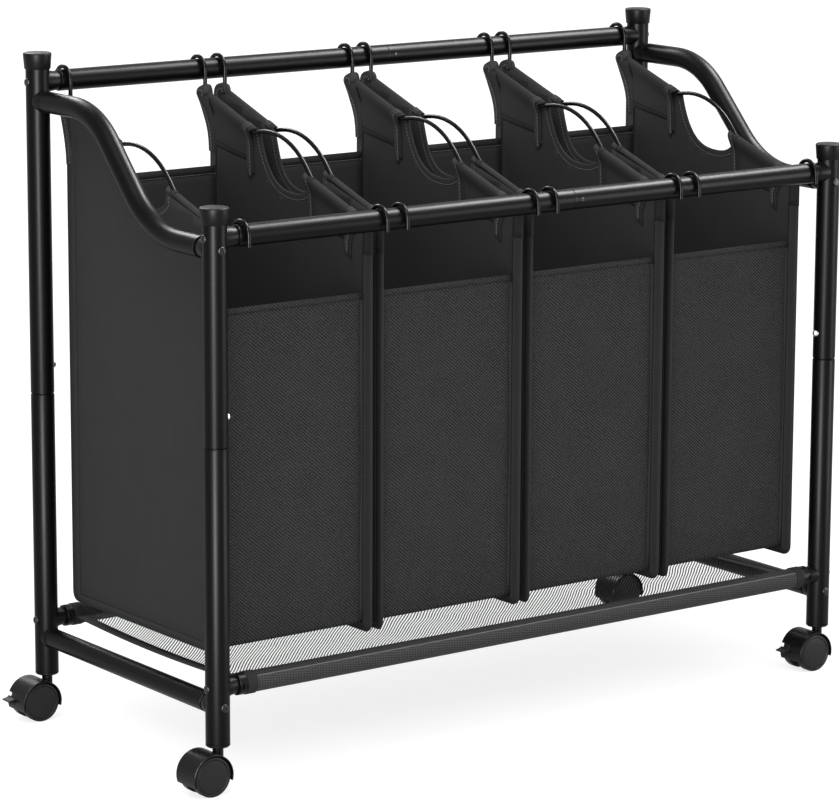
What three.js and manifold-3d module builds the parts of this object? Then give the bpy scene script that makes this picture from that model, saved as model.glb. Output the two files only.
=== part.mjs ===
// Four-bag laundry sorter on wheels: a bolted tube frame, a mesh shelf, hook-on bags and twin-wheel casters.
// Millimetres, +Z up. The floor is Z = 0, the bags face -Y and the long side runs along X.
import * as THREE from 'three';
import Module from 'manifold-3d';
import { mergeVertices } from 'three/addons/utils/BufferGeometryUtils.js';

const wasm = await Module();
wasm.setup();

// ---------- driving dimensions ----------

// Bags along the bars, and the room from the end bags' places to the post centres
const BAG_COUNT = 4;
const BAG_PITCH = 214;
const BAG_GAP = 18.4;
const END_ROOM = 20.5;

// Post tubes
const POST_PITCH_Y = 369;
const POST_RADIUS = 13.9;
const POST_WALL = 1.2;
const POST_SEAM = 394;
const FRONT_POST_TOP = 657;
const BACK_RISE = 134;
const NECK_LENGTH = 55;
const SHOULDER_HEIGHT = 2.2;

// Post caps
const CAP_HEIGHT = 19;
const CAP_WALL = 1.1;
const CAP_FLARE = 1.4;
const CAP_ROOF = 3;
const CAP_EDGE = 1.4;

// Top bars and side rails, their heights measured down from the post tops and the bars
const TUBE_RADIUS = 12.4;
const TUBE_WALL = 1.2;
const BAR_DROP = 31;
const BAR_JOINT_X = 45;
const RAIL_REAR_DROP = 21;
const RAIL_FRONT_DROP = 13;
const RAIL_REAR_BEND_Y = 60.3;
const RAIL_SLOPE = THREE.MathUtils.degToRad(45.8);
const RAIL_REAR_BEND = 104;
const RAIL_FRONT_BEND = 128;

// Bottom bars and cross tubes
const BOTTOM_BAR_RADIUS = 11;
const BOTTOM_BAR_Z = 120;
const CROSS_TUBE_RADIUS = 11.7;
const CROSS_TUBE_DROP = 20.7;
const SPIGOT_LENGTH = 40;

// Saddle plugs at the tube ends: lengths from the post surface, and steps in from the tube surface
const BAR_SADDLE = 12.5;
const RAIL_SADDLE = 10;
const CROSS_SADDLE = 6;
const BOTTOM_SADDLE = 9.5;
const SADDLE_STEP = 1.4;
const BOLT_HOLE = 3.2;
const PLUG_DEPTH = 6;

// Collar on each end of a bottom bar
const COLLAR_LENGTH = 10;
const COLLAR_STEP = 1.6;
const COLLAR_NOTCH = 2.8;
const COLLAR_NOTCH_DEPTH = 1.4;

// Mesh shelf
const SHELF_CLOTH = 1;
const SHELF_SHEET = 1.6;

// Bag panels: rooms from the bars' centres, and heights from the shelf and the bars
const CLOTH = 2;
const BAG_REAR_ROOM = 18.5;
const BAG_FRONT_ROOM = 24.5;
const SEAM_FLANGE = 14;
const BAG_CLEARANCE = 9.7;
const BAG_FLOOR_LIFT = 10;
const FRONT_PANEL_DROP = 91;
const REAR_PANEL_DROP = 112;
const EAR_DROP = 22;
const EAR_NECK = 70;
const EAR_WIDTH = 24;
const EAR_ROUND = 9;
const EAR_CURL = 23;

// Handle scoop in the top of each side panel
const SCOOP_REAR = 52;
const SCOOP_LOW_Y = -12;
const SCOOP_FRONT = -46;
const SCOOP_RISE = 5;
const SCOOP_SHOULDER = 31;
const SCOOP_ROUND = 37;
const SCOOP_TURN = 8;
const SCOOP_LIP = 15.5;
const SCOOP_LIP_RISE = 5;

// Bag wires: heights measured from the bars
const WIRE_RADIUS = 2.5;
const HOOK_TAIL = 11.5;
const HANDLE_REAR_Y = 60;
const HANDLE_REAR_DROP = 67.8;
const HANDLE_CORNER_Y = -14.4;
const HANDLE_CORNER_DROP = 63.5;
const HANDLE_FRONT_Y = -50;
const HANDLE_FRONT_RISE = 26.6;
const REAR_SLEEVE_SLOPE = THREE.MathUtils.degToRad(17.8);
const FRONT_SLEEVE_SLOPE = THREE.MathUtils.degToRad(21);
const WIRE_BEND = 8;
const HANDLE_BEND = 108;
const HANDLE_REAR_BEND = 20;
const HANDLE_FRONT_BEND = 14;

// Caster housings
const CASTER_TRAIL = 17.5;
const HOOD_ROOM = 1.1;
const HOOD_WALL = 1.6;
const HOOD_WIDTH = 38;
const HOOD_FRONT_ANGLE = -15;
const HOOD_REAR_ANGLE = 200;
const WEB_WIDTH = 6;
const WEB_INSET = 3;
const WEB_AXLE_BOSS = 7;
const AXLE_RADIUS = 3;
const SWIVEL_BOSS_RADIUS = 6.2;
const SWIVEL_BOSS_RISE = 3;
const SWIVEL_ROOM = 3.75;

// Caster wheels
const WHEEL_RADIUS = 23.5;
const WHEEL_RECESS = 1.5;
const WHEEL_ROOM = 1.6;
const TREAD_BEVEL = 1.2;
const WHEEL_HUB_RADIUS = 5.6;
const WHEEL_RIM_WALL = 3;
const WHEEL_DISC_WALL = 2.4;
const WHEEL_DOME = 0.9;

// Caster stems and the sockets that hold them in the posts
const STEM_RADIUS = 4;
const STEM_FOOT_RISE = 7;
const STEM_INSERTION = 33;
const STEM_HEAD_RADIUS = 5.4;
const STEM_HEAD_HEIGHT = 6;
const SOCKET_FLANGE = 3.2;
const SOCKET_CHAMFER = 1.2;

// Brake lever
const LEVER_LOW_ANGLE = 186.5;
const LEVER_HIGH_ANGLE = 168;
const LEVER_TRAVEL = 10;
const LEVER_PROUD = 7.3;
const LEVER_TIP_ANGLE = 177.5;
const LEVER_TIP_THICKNESS = 2.5;
const LEVER_TAB_INSET = 1.5;
const LEVER_ARM_WALL = 1.4;
const LEVER_ARM_ANGLE = 8;
const LEVER_EYE_RADIUS = 6;

// Clearances
const SEAT = 0.3;
const FIT = 0.2;
const RUNNING = 0.25;
const HOOK_GAP = 0.8;
const LEVER_GAP_ANGLE = 0.7;
const CUT_OVERRUN = 2;

// Facets round each kind of round piece; a bend's chords never stray further than the hooks' gap
const POST_SIDES = 16;
const TUBE_SIDES = 12;
const BORE_SIDES = 6;
const WIRE_SIDES = 6;
const WHEEL_SIDES = 16;
const SMALL_SIDES = 12;
const BEND_TOLERANCE = HOOK_GAP;
const HOOD_STEP = 18;
const CLOTH_CURVE_STEPS = 3;

// ---------- values worked out from them ----------

// Each wheel stands on one of its facets
const AXLE_Z = WHEEL_RADIUS * Math.cos(Math.PI / WHEEL_SIDES);
const HOOD_BORE = WHEEL_RADIUS + HOOD_ROOM;
const HOOD_RADIUS = HOOD_BORE + HOOD_WALL;
const SWIVEL_BOSS_FOOT = AXLE_Z + SWIVEL_BOSS_RISE;
const WHEEL_FACE = HOOD_WIDTH / 2 - WHEEL_RECESS;
const WHEEL_INNER = SWIVEL_BOSS_RADIUS + WHEEL_ROOM;
const LEVER_REACH = HOOD_RADIUS + LEVER_PROUD;
const LEVER_ARM_INNER = WEB_WIDTH / 2 + SEAT;
const HUB_INNER = LEVER_ARM_INNER + LEVER_ARM_WALL + SEAT;

const POST_PITCH_X = BAG_COUNT * BAG_PITCH + 2 * END_ROOM;
const POST_BOTTOM = AXLE_Z + HOOD_RADIUS + SWIVEL_ROOM;
const POST_BORE = POST_RADIUS - POST_WALL;
const REAR_POST_TOP = FRONT_POST_TOP + BACK_RISE;
const STEM_FOOT = AXLE_Z + STEM_FOOT_RISE;
const STEM_TOP = POST_BOTTOM + STEM_INSERTION;
const CAP_BORE = POST_RADIUS + FIT;
const CAP_FOOT_RADIUS = CAP_BORE + CAP_WALL;
const CAP_TOP_RADIUS = CAP_FOOT_RADIUS + CAP_FLARE;

const TUBE_BORE = TUBE_RADIUS - TUBE_WALL;
const SADDLE_RADIUS = TUBE_RADIUS - SADDLE_STEP;
const CROSS_SADDLE_RADIUS = CROSS_TUBE_RADIUS - SADDLE_STEP;
const BOTTOM_SADDLE_RADIUS = BOTTOM_BAR_RADIUS - SADDLE_STEP;
const COLLAR_RADIUS = BOTTOM_BAR_RADIUS + COLLAR_STEP;
const BAR_END_X = POST_PITCH_X / 2 - POST_RADIUS;
const RAIL_END_Y = POST_PITCH_Y / 2 - POST_RADIUS;
const REAR_BAR_Y = POST_PITCH_Y / 2;
const FRONT_BAR_Y = -POST_PITCH_Y / 2;
const REAR_BAR_Z = REAR_POST_TOP - BAR_DROP;
const FRONT_BAR_Z = FRONT_POST_TOP - BAR_DROP;
const RAIL_REAR_Z = REAR_BAR_Z - RAIL_REAR_DROP;
const RAIL_FRONT_Z = FRONT_BAR_Z - RAIL_FRONT_DROP;
const CROSS_TUBE_Z = BOTTOM_BAR_Z - CROSS_TUBE_DROP;

const SHELF_END_X = BAR_END_X - BOTTOM_SADDLE - COLLAR_LENGTH - SEAT;
const SLEEVE_BORE = BOTTOM_BAR_RADIUS + SEAT;
const SLEEVE_RADIUS = SLEEVE_BORE + SHELF_CLOTH;

const PANEL_OUTSIDE = (BAG_PITCH - BAG_GAP) / 2;
const PANEL_INSIDE = PANEL_OUTSIDE - CLOTH;
const WIRE_OFFSET = PANEL_INSIDE - SEAT - WIRE_RADIUS;
const HOOK_RADIUS = TUBE_RADIUS + WIRE_RADIUS + HOOK_GAP;
const HANDLE_REAR_Z = REAR_BAR_Z - HANDLE_REAR_DROP;
const HANDLE_CORNER_Z = REAR_BAR_Z - HANDLE_CORNER_DROP;
const HANDLE_FRONT_Z = FRONT_BAR_Z + HANDLE_FRONT_RISE;
const SLEEVE_RISE = WIRE_RADIUS + CLOTH / 2;
const BAG_REAR_EDGE = REAR_BAR_Y - BAG_REAR_ROOM;
const BAG_FRONT_EDGE = FRONT_BAR_Y + BAG_FRONT_ROOM;
const BAG_FLANGE_FOOT = BOTTOM_BAR_Z + SLEEVE_RADIUS + BAG_CLEARANCE;
const BAG_FLOOR = BAG_FLANGE_FOOT + BAG_FLOOR_LIFT;
const FRONT_PANEL_TOP = FRONT_BAR_Z - FRONT_PANEL_DROP;
const REAR_PANEL_TOP = REAR_BAR_Z - REAR_PANEL_DROP;
const EAR_TOP = REAR_BAR_Z - EAR_DROP;
const EAR_REAR = REAR_BAR_Y - TUBE_RADIUS - SEAT;
const EAR_FRONT = FRONT_BAR_Y + TUBE_RADIUS + SEAT;
const SCOOP_FLOOR = FRONT_BAR_Z + SCOOP_RISE;

// ---------- materials ----------

function finish(color, roughness, metalness) {
  return new THREE.MeshStandardMaterial({ color, roughness, metalness });
}

const steel = finish(0x2b2b2c, 0.34, 0.55);
const capPlastic = finish(0x2d2d2e, 0.42, 0);
const wireSteel = finish(0x232324, 0.3, 0.6);
const bagCloth = finish(0x343435, 0.92, 0);
const meshCloth = finish(0x3a3a3b, 0.85, 0);
const casterPlastic = finish(0x2b2b2c, 0.38, 0);
const wheelPlastic = finish(0x353536, 0.45, 0);
const stemSteel = finish(0x8b8c8e, 0.3, 0.9);

// ---------- solids ----------

/** A manifold solid from a closed three.js geometry, with its faces pointing out. */
function toSolid(geometry) {
  const bare = geometry.clone();
  bare.deleteAttribute('normal');
  bare.deleteAttribute('uv');
  const merged = mergeVertices(bare, 1e-4);
  const place = merged.attributes.position.array;
  const corners = [];
  let volume = 0;
  const a = new THREE.Vector3();
  const b = new THREE.Vector3();
  const c = new THREE.Vector3();
  for (let i = 0; i < merged.index.count; i += 3) {
    const [p, q, r] = [0, 1, 2].map((k) => merged.index.getX(i + k));
    if (p === q || q === r || r === p) continue;
    corners.push(p, q, r);
    a.fromArray(place, 3 * p);
    b.fromArray(place, 3 * q);
    c.fromArray(place, 3 * r);
    volume += a.dot(b.cross(c));
  }
  if (volume < 0) corners.reverse();
  const mesh = new wasm.Mesh({
    numProp: 3,
    vertProperties: new Float32Array(place),
    triVerts: new Uint32Array(corners),
  });
  return new wasm.Manifold(mesh);
}

/** A three.js geometry from a manifold solid. */
function toGeometry(solid) {
  const mesh = solid.getMesh();
  const geometry = new THREE.BufferGeometry();
  geometry.setAttribute('position', new THREE.BufferAttribute(mesh.vertProperties, 3));
  geometry.setIndex(new THREE.BufferAttribute(mesh.triVerts, 1));
  geometry.computeVertexNormals();
  return geometry;
}

/** A named piece of the sorter. */
function piece(name, solid, material) {
  const mesh = new THREE.Mesh(toGeometry(solid), material);
  mesh.name = name;
  return mesh;
}

/** Turns a geometry built along Y so that it runs along another axis. */
function along(geometry, axis) {
  if (axis === 'z') geometry.rotateX(Math.PI / 2);
  if (axis === 'x') geometry.rotateZ(-Math.PI / 2);
  return geometry;
}

/** A revolved solid: [radius, height] pairs that start and end on the axis, or close on themselves. */
function revolve(profile, sides, axis = 'z') {
  const points = profile.map(([radius, height]) => new THREE.Vector2(radius, height));
  const firstFacet = axis === 'z' ? 0 : Math.PI / sides;
  return toSolid(along(new THREE.LatheGeometry(points, sides, firstFacet), axis));
}

/** A round rod between two heights on an axis. */
function rod(radius, from, to, sides, axis = 'z') {
  return revolve([[0, from], [radius, from], [radius, to], [0, to]], sides, axis);
}

/** A box from its low corner to its high corner. */
function block(low, high) {
  const size = high.map((value, k) => value - low[k]);
  const geometry = new THREE.BoxGeometry(...size);
  geometry.translate(...low.map((value, k) => value + size[k] / 2));
  return toSolid(geometry);
}

/** A regular polygon, for the section of a tube or wire. */
function roundSection(radius, sides) {
  const points = [];
  for (let i = 0; i < sides; i += 1) {
    const turn = (2 * Math.PI * (i + 0.5)) / sides;
    points.push(new THREE.Vector2(radius * Math.cos(turn), radius * Math.sin(turn)));
  }
  return new THREE.Shape(points);
}

/** A curve that passes through its own stations, with more of them where it bends. */
class StationCurve extends THREE.Curve {
  constructor(stations, tangents) {
    super();
    this.stations = stations;
    this.tangents = tangents;
  }

  index(t) {
    return Math.round(t * (this.stations.length - 1));
  }

  getPointAt(t, target = new THREE.Vector3()) {
    return target.copy(this.stations[this.index(t)]);
  }

  getPoint(t, target) {
    return this.getPointAt(t, target);
  }

  getTangentAt(t, target = new THREE.Vector3()) {
    return target.copy(this.tangents[this.index(t)]);
  }
}

/** Straight runs in the YZ plane joined by round bends: corners are [y, z, bend radius]. */
function bentPath(corners) {
  const spots = corners.map(([y, z]) => new THREE.Vector3(0, y, z));
  const stations = [spots[0]];
  const tangents = [spots[1].clone().sub(spots[0]).normalize()];
  for (let i = 1; i < corners.length - 1; i += 1) {
    const before = spots[i].clone().sub(spots[i - 1]).normalize();
    const after = spots[i + 1].clone().sub(spots[i]).normalize();
    const turn = before.angleTo(after);
    const side = Math.sign(before.y * after.z - before.z * after.y);
    const radius = corners[i][2];
    const start = spots[i].clone().addScaledVector(before, -radius * Math.tan(turn / 2));
    const normal = new THREE.Vector3(0, -before.z * side, before.y * side);
    const step = 2 * Math.acos(1 - BEND_TOLERANCE / radius);
    const count = Math.ceil(turn / step);
    for (let k = 0; k <= count; k += 1) {
      const angle = (turn * k) / count;
      const station = start.clone()
        .addScaledVector(before, radius * Math.sin(angle))
        .addScaledVector(normal, radius * (1 - Math.cos(angle)));
      const tangent = before.clone().multiplyScalar(Math.cos(angle)).addScaledVector(normal, Math.sin(angle));
      stations.push(station);
      tangents.push(tangent);
    }
  }
  stations.push(spots.at(-1));
  tangents.push(tangents.at(-1).clone());
  return new StationCurve(stations, tangents);
}

/** A rod bent along a path in the YZ plane. */
function bentRod(radius, sides, corners) {
  const path = bentPath(corners);
  const geometry = new THREE.ExtrudeGeometry(roundSection(radius, sides), {
    steps: path.stations.length - 1,
    extrudePath: path,
  });
  return toSolid(geometry);
}

/** A plate with an outline in the YZ plane, from one X to another. */
function sidePlate(shape, from, to) {
  const geometry = new THREE.ExtrudeGeometry(shape, {
    depth: to - from,
    bevelEnabled: false,
    curveSegments: CLOTH_CURVE_STEPS,
  });
  // The shape's own x and y become Y and Z, and its depth becomes X.
  geometry.applyMatrix4(new THREE.Matrix4().set(0, 0, 1, from, 1, 0, 0, 0, 0, 1, 0, 0, 0, 0, 0, 1));
  return toSolid(geometry);
}

// ---------- frame ----------

/** The upper tube of a post: plain, open at both ends, with its foot edge broken. */
function upperPost(top) {
  const foot = POST_SEAM + SEAT;
  const edge = POST_WALL / 2;
  return revolve([
    [POST_BORE, foot],
    [POST_RADIUS - edge, foot],
    [POST_RADIUS, foot + edge],
    [POST_RADIUS, top],
    [POST_BORE, top],
    [POST_BORE, foot],
  ], POST_SIDES);
}

/** The lower tube of a post: its swaged neck slides up inside the upper tube. */
function lowerPost() {
  const foot = POST_BOTTOM + SOCKET_FLANGE + SEAT;
  const neck = POST_BORE - FIT;
  const neckBore = neck - POST_WALL;
  const shoulder = POST_SEAM - SHOULDER_HEIGHT;
  const top = POST_SEAM + NECK_LENGTH;
  return revolve([
    [POST_BORE, foot],
    [POST_RADIUS, foot],
    [POST_RADIUS, shoulder],
    [neck, POST_SEAM],
    [neck, top],
    [neckBore, top],
    [neckBore, POST_SEAM],
    [POST_BORE, shoulder],
    [POST_BORE, foot],
  ], POST_SIDES);
}

/** A tapered cap with a skirt that hides the end of the post. */
function postCap(postTop) {
  const roof = postTop + SEAT;
  const top = roof + CAP_ROOF;
  const foot = top - CAP_HEIGHT;
  return revolve([
    [0, roof],
    [CAP_BORE, roof],
    [CAP_BORE, foot],
    [CAP_FOOT_RADIUS, foot],
    [CAP_TOP_RADIUS, top - CAP_EDGE],
    [CAP_TOP_RADIUS - CAP_EDGE, top],
    [0, top],
  ], POST_SIDES);
}

/** The clearance that a saddle is coped to, round one post and centred on the saddle's height. */
function postCutter(x, y) {
  const radius = (POST_RADIUS + SEAT) / Math.cos(Math.PI / POST_SIDES);
  return rod(radius, -POST_RADIUS * 2, POST_RADIUS * 2, POST_SIDES).translate([x, y, 0]);
}

/** Half of a top bar: a tube with a saddle at the post, and a socket or a spigot at the joint. */
function topBarHalf(side, spigot) {
  const end = side * BAR_END_X;
  const rim = end - side * BAR_SADDLE;
  const plugFace = rim - side * PLUG_DEPTH;
  const joint = BAR_JOINT_X + side * (SEAT / 2);
  const tip = end + side * POST_RADIUS;
  const neck = TUBE_BORE - FIT;
  const profile = [[0, tip], [SADDLE_RADIUS, tip], [SADDLE_RADIUS, rim], [TUBE_RADIUS, rim]];
  if (spigot) {
    const spigotEnd = joint - side * SPIGOT_LENGTH;
    profile.push([TUBE_RADIUS, joint], [neck, joint], [neck, spigotEnd], [neck - TUBE_WALL, spigotEnd]);
    profile.push([neck - TUBE_WALL, plugFace], [0, plugFace]);
  } else {
    profile.push([TUBE_RADIUS, joint], [TUBE_BORE, joint], [TUBE_BORE, plugFace], [0, plugFace]);
  }
  return revolve(profile, TUBE_SIDES, 'x').subtract(postCutter(side * (POST_PITCH_X / 2), 0));
}

/** Half of a bottom bar: a slimmer tube with a saddle and a notched collar, joined at the middle. */
function bottomBarHalf(side, spigot) {
  const end = side * BAR_END_X;
  const collarOuter = end - side * BOTTOM_SADDLE;
  const collarInner = collarOuter - side * COLLAR_LENGTH;
  const plugFace = collarOuter - side * PLUG_DEPTH;
  const joint = side * (SEAT / 2);
  const tip = end + side * POST_RADIUS;
  const bore = BOTTOM_BAR_RADIUS - TUBE_WALL;
  const neck = bore - FIT;
  const profile = [
    [0, tip],
    [BOTTOM_SADDLE_RADIUS, tip],
    [BOTTOM_SADDLE_RADIUS, collarOuter],
    [COLLAR_RADIUS, collarOuter],
    [COLLAR_RADIUS, collarInner],
    [BOTTOM_BAR_RADIUS, collarInner],
    [BOTTOM_BAR_RADIUS, joint],
  ];
  if (spigot) {
    const spigotEnd = joint - side * SPIGOT_LENGTH;
    profile.push([neck, joint], [neck, spigotEnd], [neck - TUBE_WALL, spigotEnd]);
    profile.push([neck - TUBE_WALL, plugFace], [0, plugFace]);
  } else {
    profile.push([bore, joint], [bore, plugFace], [0, plugFace]);
  }
  let bar = revolve(profile, TUBE_SIDES, 'x');
  const notchEnd = collarOuter - side * (COLLAR_LENGTH / 2);
  const notchX = [Math.min(collarOuter, notchEnd), Math.max(collarOuter, notchEnd)];
  const notchFloor = COLLAR_RADIUS - COLLAR_NOTCH_DEPTH;
  for (const way of [-1, 1]) {
    const heights = [way * notchFloor, way * (COLLAR_RADIUS + CUT_OVERRUN)].sort((p, q) => p - q);
    const low = [notchX[0] - CUT_OVERRUN * (side < 0 ? 1 : 0), -COLLAR_NOTCH, heights[0]];
    const high = [notchX[1] + CUT_OVERRUN * (side > 0 ? 1 : 0), COLLAR_NOTCH, heights[1]];
    bar = bar.subtract(block(low, high));
  }
  return bar.subtract(postCutter(side * (POST_PITCH_X / 2), 0));
}

/** A straight tube between the front and rear posts, with a coped saddle and a bolt hole at each end. */
function crossTube() {
  const reach = RAIL_END_Y + POST_RADIUS;
  const rim = RAIL_END_Y - CROSS_SADDLE;
  const plugFace = rim - PLUG_DEPTH;
  const bore = CROSS_TUBE_RADIUS - TUBE_WALL;
  const tube = revolve([
    [BOLT_HOLE, -reach],
    [CROSS_SADDLE_RADIUS, -reach],
    [CROSS_SADDLE_RADIUS, -rim],
    [CROSS_TUBE_RADIUS, -rim],
    [CROSS_TUBE_RADIUS, rim],
    [CROSS_SADDLE_RADIUS, rim],
    [CROSS_SADDLE_RADIUS, reach],
    [BOLT_HOLE, reach],
    [BOLT_HOLE, plugFace],
    [bore, plugFace],
    [bore, -plugFace],
    [BOLT_HOLE, -plugFace],
    [BOLT_HOLE, -reach],
  ], TUBE_SIDES, 'y');
  return tube.subtract(postCutter(0, REAR_BAR_Y)).subtract(postCutter(0, FRONT_BAR_Y));
}

/** The two corners of the S-bend: where its straight lines would meet. */
function railCorners(endY) {
  const run = (RAIL_REAR_Z - RAIL_FRONT_Z) / Math.tan(RAIL_SLOPE);
  return [
    [endY, RAIL_REAR_Z],
    [RAIL_REAR_BEND_Y, RAIL_REAR_Z, RAIL_REAR_BEND],
    [RAIL_REAR_BEND_Y - run, RAIL_FRONT_Z, RAIL_FRONT_BEND],
    [-endY, RAIL_FRONT_Z],
  ];
}

/** An S-bent side rail: a hollow tube with a saddle and a bolt hole at each end. */
function sideRail() {
  const rim = RAIL_END_Y - RAIL_SADDLE;
  const reach = RAIL_END_Y + POST_RADIUS;
  const skin = bentRod(TUBE_RADIUS, TUBE_SIDES, railCorners(rim));
  const hollow = bentRod(TUBE_BORE, BORE_SIDES, railCorners(rim - PLUG_DEPTH));
  let rail = skin;
  for (const [way, z] of [[1, RAIL_REAR_Z], [-1, RAIL_FRONT_Z]]) {
    const low = Math.min(way * (rim - PLUG_DEPTH / 2), way * reach);
    const high = Math.max(way * (rim - PLUG_DEPTH / 2), way * reach);
    rail = rail.add(rod(SADDLE_RADIUS, low, high, TUBE_SIDES, 'y').translate([0, 0, z]));
  }
  rail = rail.subtract(hollow);
  for (const [way, z] of [[1, RAIL_REAR_Z], [-1, RAIL_FRONT_Z]]) {
    const low = Math.min(way * (rim - PLUG_DEPTH - CUT_OVERRUN), way * (reach + CUT_OVERRUN));
    const high = Math.max(way * (rim - PLUG_DEPTH - CUT_OVERRUN), way * (reach + CUT_OVERRUN));
    rail = rail.subtract(rod(BOLT_HOLE, low, high, BORE_SIDES, 'y').translate([0, 0, z]));
  }
  const rearCope = postCutter(0, REAR_BAR_Y).translate([0, 0, RAIL_REAR_Z]);
  const frontCope = postCutter(0, FRONT_BAR_Y).translate([0, 0, RAIL_FRONT_Z]);
  return rail.subtract(rearCope).subtract(frontCope);
}

/** The mesh shelf: one cloth with a sleeve round each bottom bar and a flat sheet between them. */
function meshShelf() {
  const sleeves = [FRONT_BAR_Y, REAR_BAR_Y].map((y) => revolve([
    [SLEEVE_BORE, -SHELF_END_X],
    [SLEEVE_RADIUS, -SHELF_END_X],
    [SLEEVE_RADIUS, SHELF_END_X],
    [SLEEVE_BORE, SHELF_END_X],
    [SLEEVE_BORE, -SHELF_END_X],
  ], TUBE_SIDES, 'x').translate([0, y, 0]));
  const reach = REAR_BAR_Y - SLEEVE_BORE - SHELF_CLOTH / 2;
  const sheet = block(
    [-SHELF_END_X, -reach, -SHELF_SHEET / 2],
    [SHELF_END_X, reach, SHELF_SHEET / 2],
  );
  return sheet.add(sleeves[0]).add(sleeves[1]).translate([0, 0, BOTTOM_BAR_Z]);
}

// ---------- bags ----------

/** The corners of a bag wire, from the tail behind the rear bar to the tail before the front bar. */
function wireCorners() {
  const rearStem = REAR_BAR_Y - HOOK_RADIUS;
  const frontStem = FRONT_BAR_Y + HOOK_RADIUS;
  const rearTop = REAR_BAR_Z + HOOK_RADIUS;
  const frontTop = FRONT_BAR_Z + HOOK_RADIUS;
  const rearFoot = HANDLE_REAR_Z + (rearStem - HANDLE_REAR_Y) * Math.tan(REAR_SLEEVE_SLOPE);
  const frontFoot = HANDLE_FRONT_Z - (HANDLE_FRONT_Y - frontStem) * Math.tan(FRONT_SLEEVE_SLOPE);
  return [
    [REAR_BAR_Y + HOOK_RADIUS, REAR_BAR_Z - HOOK_TAIL],
    [REAR_BAR_Y + HOOK_RADIUS, rearTop, HOOK_RADIUS],
    [rearStem, rearTop, HOOK_RADIUS],
    [rearStem, rearFoot, WIRE_BEND],
    [HANDLE_REAR_Y, HANDLE_REAR_Z, HANDLE_REAR_BEND],
    [HANDLE_CORNER_Y, HANDLE_CORNER_Z, HANDLE_BEND],
    [HANDLE_FRONT_Y, HANDLE_FRONT_Z, HANDLE_FRONT_BEND],
    [frontStem, frontFoot, WIRE_BEND],
    [frontStem, frontTop, HOOK_RADIUS],
    [FRONT_BAR_Y - HOOK_RADIUS, frontTop, HOOK_RADIUS],
    [FRONT_BAR_Y - HOOK_RADIUS, FRONT_BAR_Z - HOOK_TAIL],
  ];
}

/** One steel wire: hook, sleeve run, handle arch, sleeve run and hook, bent from one rod. */
function bagWire() {
  return bentRod(WIRE_RADIUS, WIRE_SIDES, wireCorners());
}

/** The top edge of the rear sleeve, which wraps the wire, at a given Y. */
function rearSleeveZ(y) {
  return HANDLE_REAR_Z + SLEEVE_RISE + (y - HANDLE_REAR_Y) * Math.tan(REAR_SLEEVE_SLOPE);
}

/** The top edge of the front sleeve at a given Y. */
function frontSleeveZ(y) {
  return HANDLE_FRONT_Z + SLEEVE_RISE + (y - HANDLE_FRONT_Y) * Math.tan(FRONT_SLEEVE_SLOPE);
}

/** The outline of a bag's side panel, with its two ears and the handle scoop, in Y and Z. */
function sidePanelShape() {
  const shape = new THREE.Shape();
  const foot = BAG_FLANGE_FOOT;
  const earFront = EAR_REAR - EAR_WIDTH;
  const frontEarZ = frontSleeveZ(EAR_FRONT);
  const rearNeckZ = EAR_TOP - EAR_NECK;
  shape.moveTo(BAG_FRONT_EDGE, foot + SEAM_FLANGE);
  shape.quadraticCurveTo(BAG_FRONT_EDGE, foot, BAG_FRONT_EDGE + SEAM_FLANGE, foot);
  shape.lineTo(BAG_REAR_EDGE - SEAM_FLANGE, foot);
  shape.quadraticCurveTo(BAG_REAR_EDGE, foot, BAG_REAR_EDGE, foot + SEAM_FLANGE);
  shape.lineTo(BAG_REAR_EDGE, rearNeckZ);
  shape.quadraticCurveTo(EAR_REAR, (rearNeckZ + EAR_TOP) / 2, EAR_REAR, EAR_TOP - EAR_ROUND);
  shape.quadraticCurveTo(EAR_REAR, EAR_TOP, EAR_REAR - EAR_ROUND, EAR_TOP);
  shape.quadraticCurveTo(earFront + EAR_ROUND, EAR_TOP, earFront, rearSleeveZ(earFront));
  shape.lineTo(SCOOP_REAR, rearSleeveZ(SCOOP_REAR));
  shape.bezierCurveTo(
    SCOOP_REAR - SCOOP_TURN, SCOOP_FLOOR + SCOOP_SHOULDER,
    SCOOP_LOW_Y + SCOOP_ROUND, SCOOP_FLOOR,
    SCOOP_LOW_Y, SCOOP_FLOOR,
  );
  shape.bezierCurveTo(
    SCOOP_LOW_Y - SCOOP_LIP, SCOOP_FLOOR,
    SCOOP_FRONT, SCOOP_FLOOR + SCOOP_LIP_RISE,
    SCOOP_FRONT, frontSleeveZ(SCOOP_FRONT),
  );
  shape.lineTo(EAR_FRONT + EAR_ROUND, frontSleeveZ(EAR_FRONT + EAR_ROUND));
  shape.quadraticCurveTo(EAR_FRONT, frontEarZ, EAR_FRONT, frontEarZ - EAR_ROUND);
  shape.quadraticCurveTo(EAR_FRONT, frontEarZ - EAR_CURL, BAG_FRONT_EDGE, frontEarZ - EAR_NECK);
  shape.closePath();
  return shape;
}

/** A bag: two shaped side panels whose seam flanges stand proud of the front, rear and bottom panels. */
function bag() {
  const outline = sidePanelShape();
  const right = sidePlate(outline, PANEL_INSIDE, PANEL_OUTSIDE);
  const left = sidePlate(outline, -PANEL_OUTSIDE, -PANEL_INSIDE);
  const join = PANEL_INSIDE + CLOTH / 2;
  const frontY = BAG_FRONT_EDGE + SEAM_FLANGE;
  const rearY = BAG_REAR_EDGE - SEAM_FLANGE;
  const front = block([-join, frontY, BAG_FLOOR], [join, frontY + CLOTH, FRONT_PANEL_TOP]);
  const rear = block([-join, rearY - CLOTH, BAG_FLOOR], [join, rearY, REAR_PANEL_TOP]);
  const floor = block([-join, frontY, BAG_FLOOR], [join, rearY, BAG_FLOOR + CLOTH]);
  return front.add(rear).add(floor).add(left).add(right);
}

// ---------- casters ----------

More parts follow.
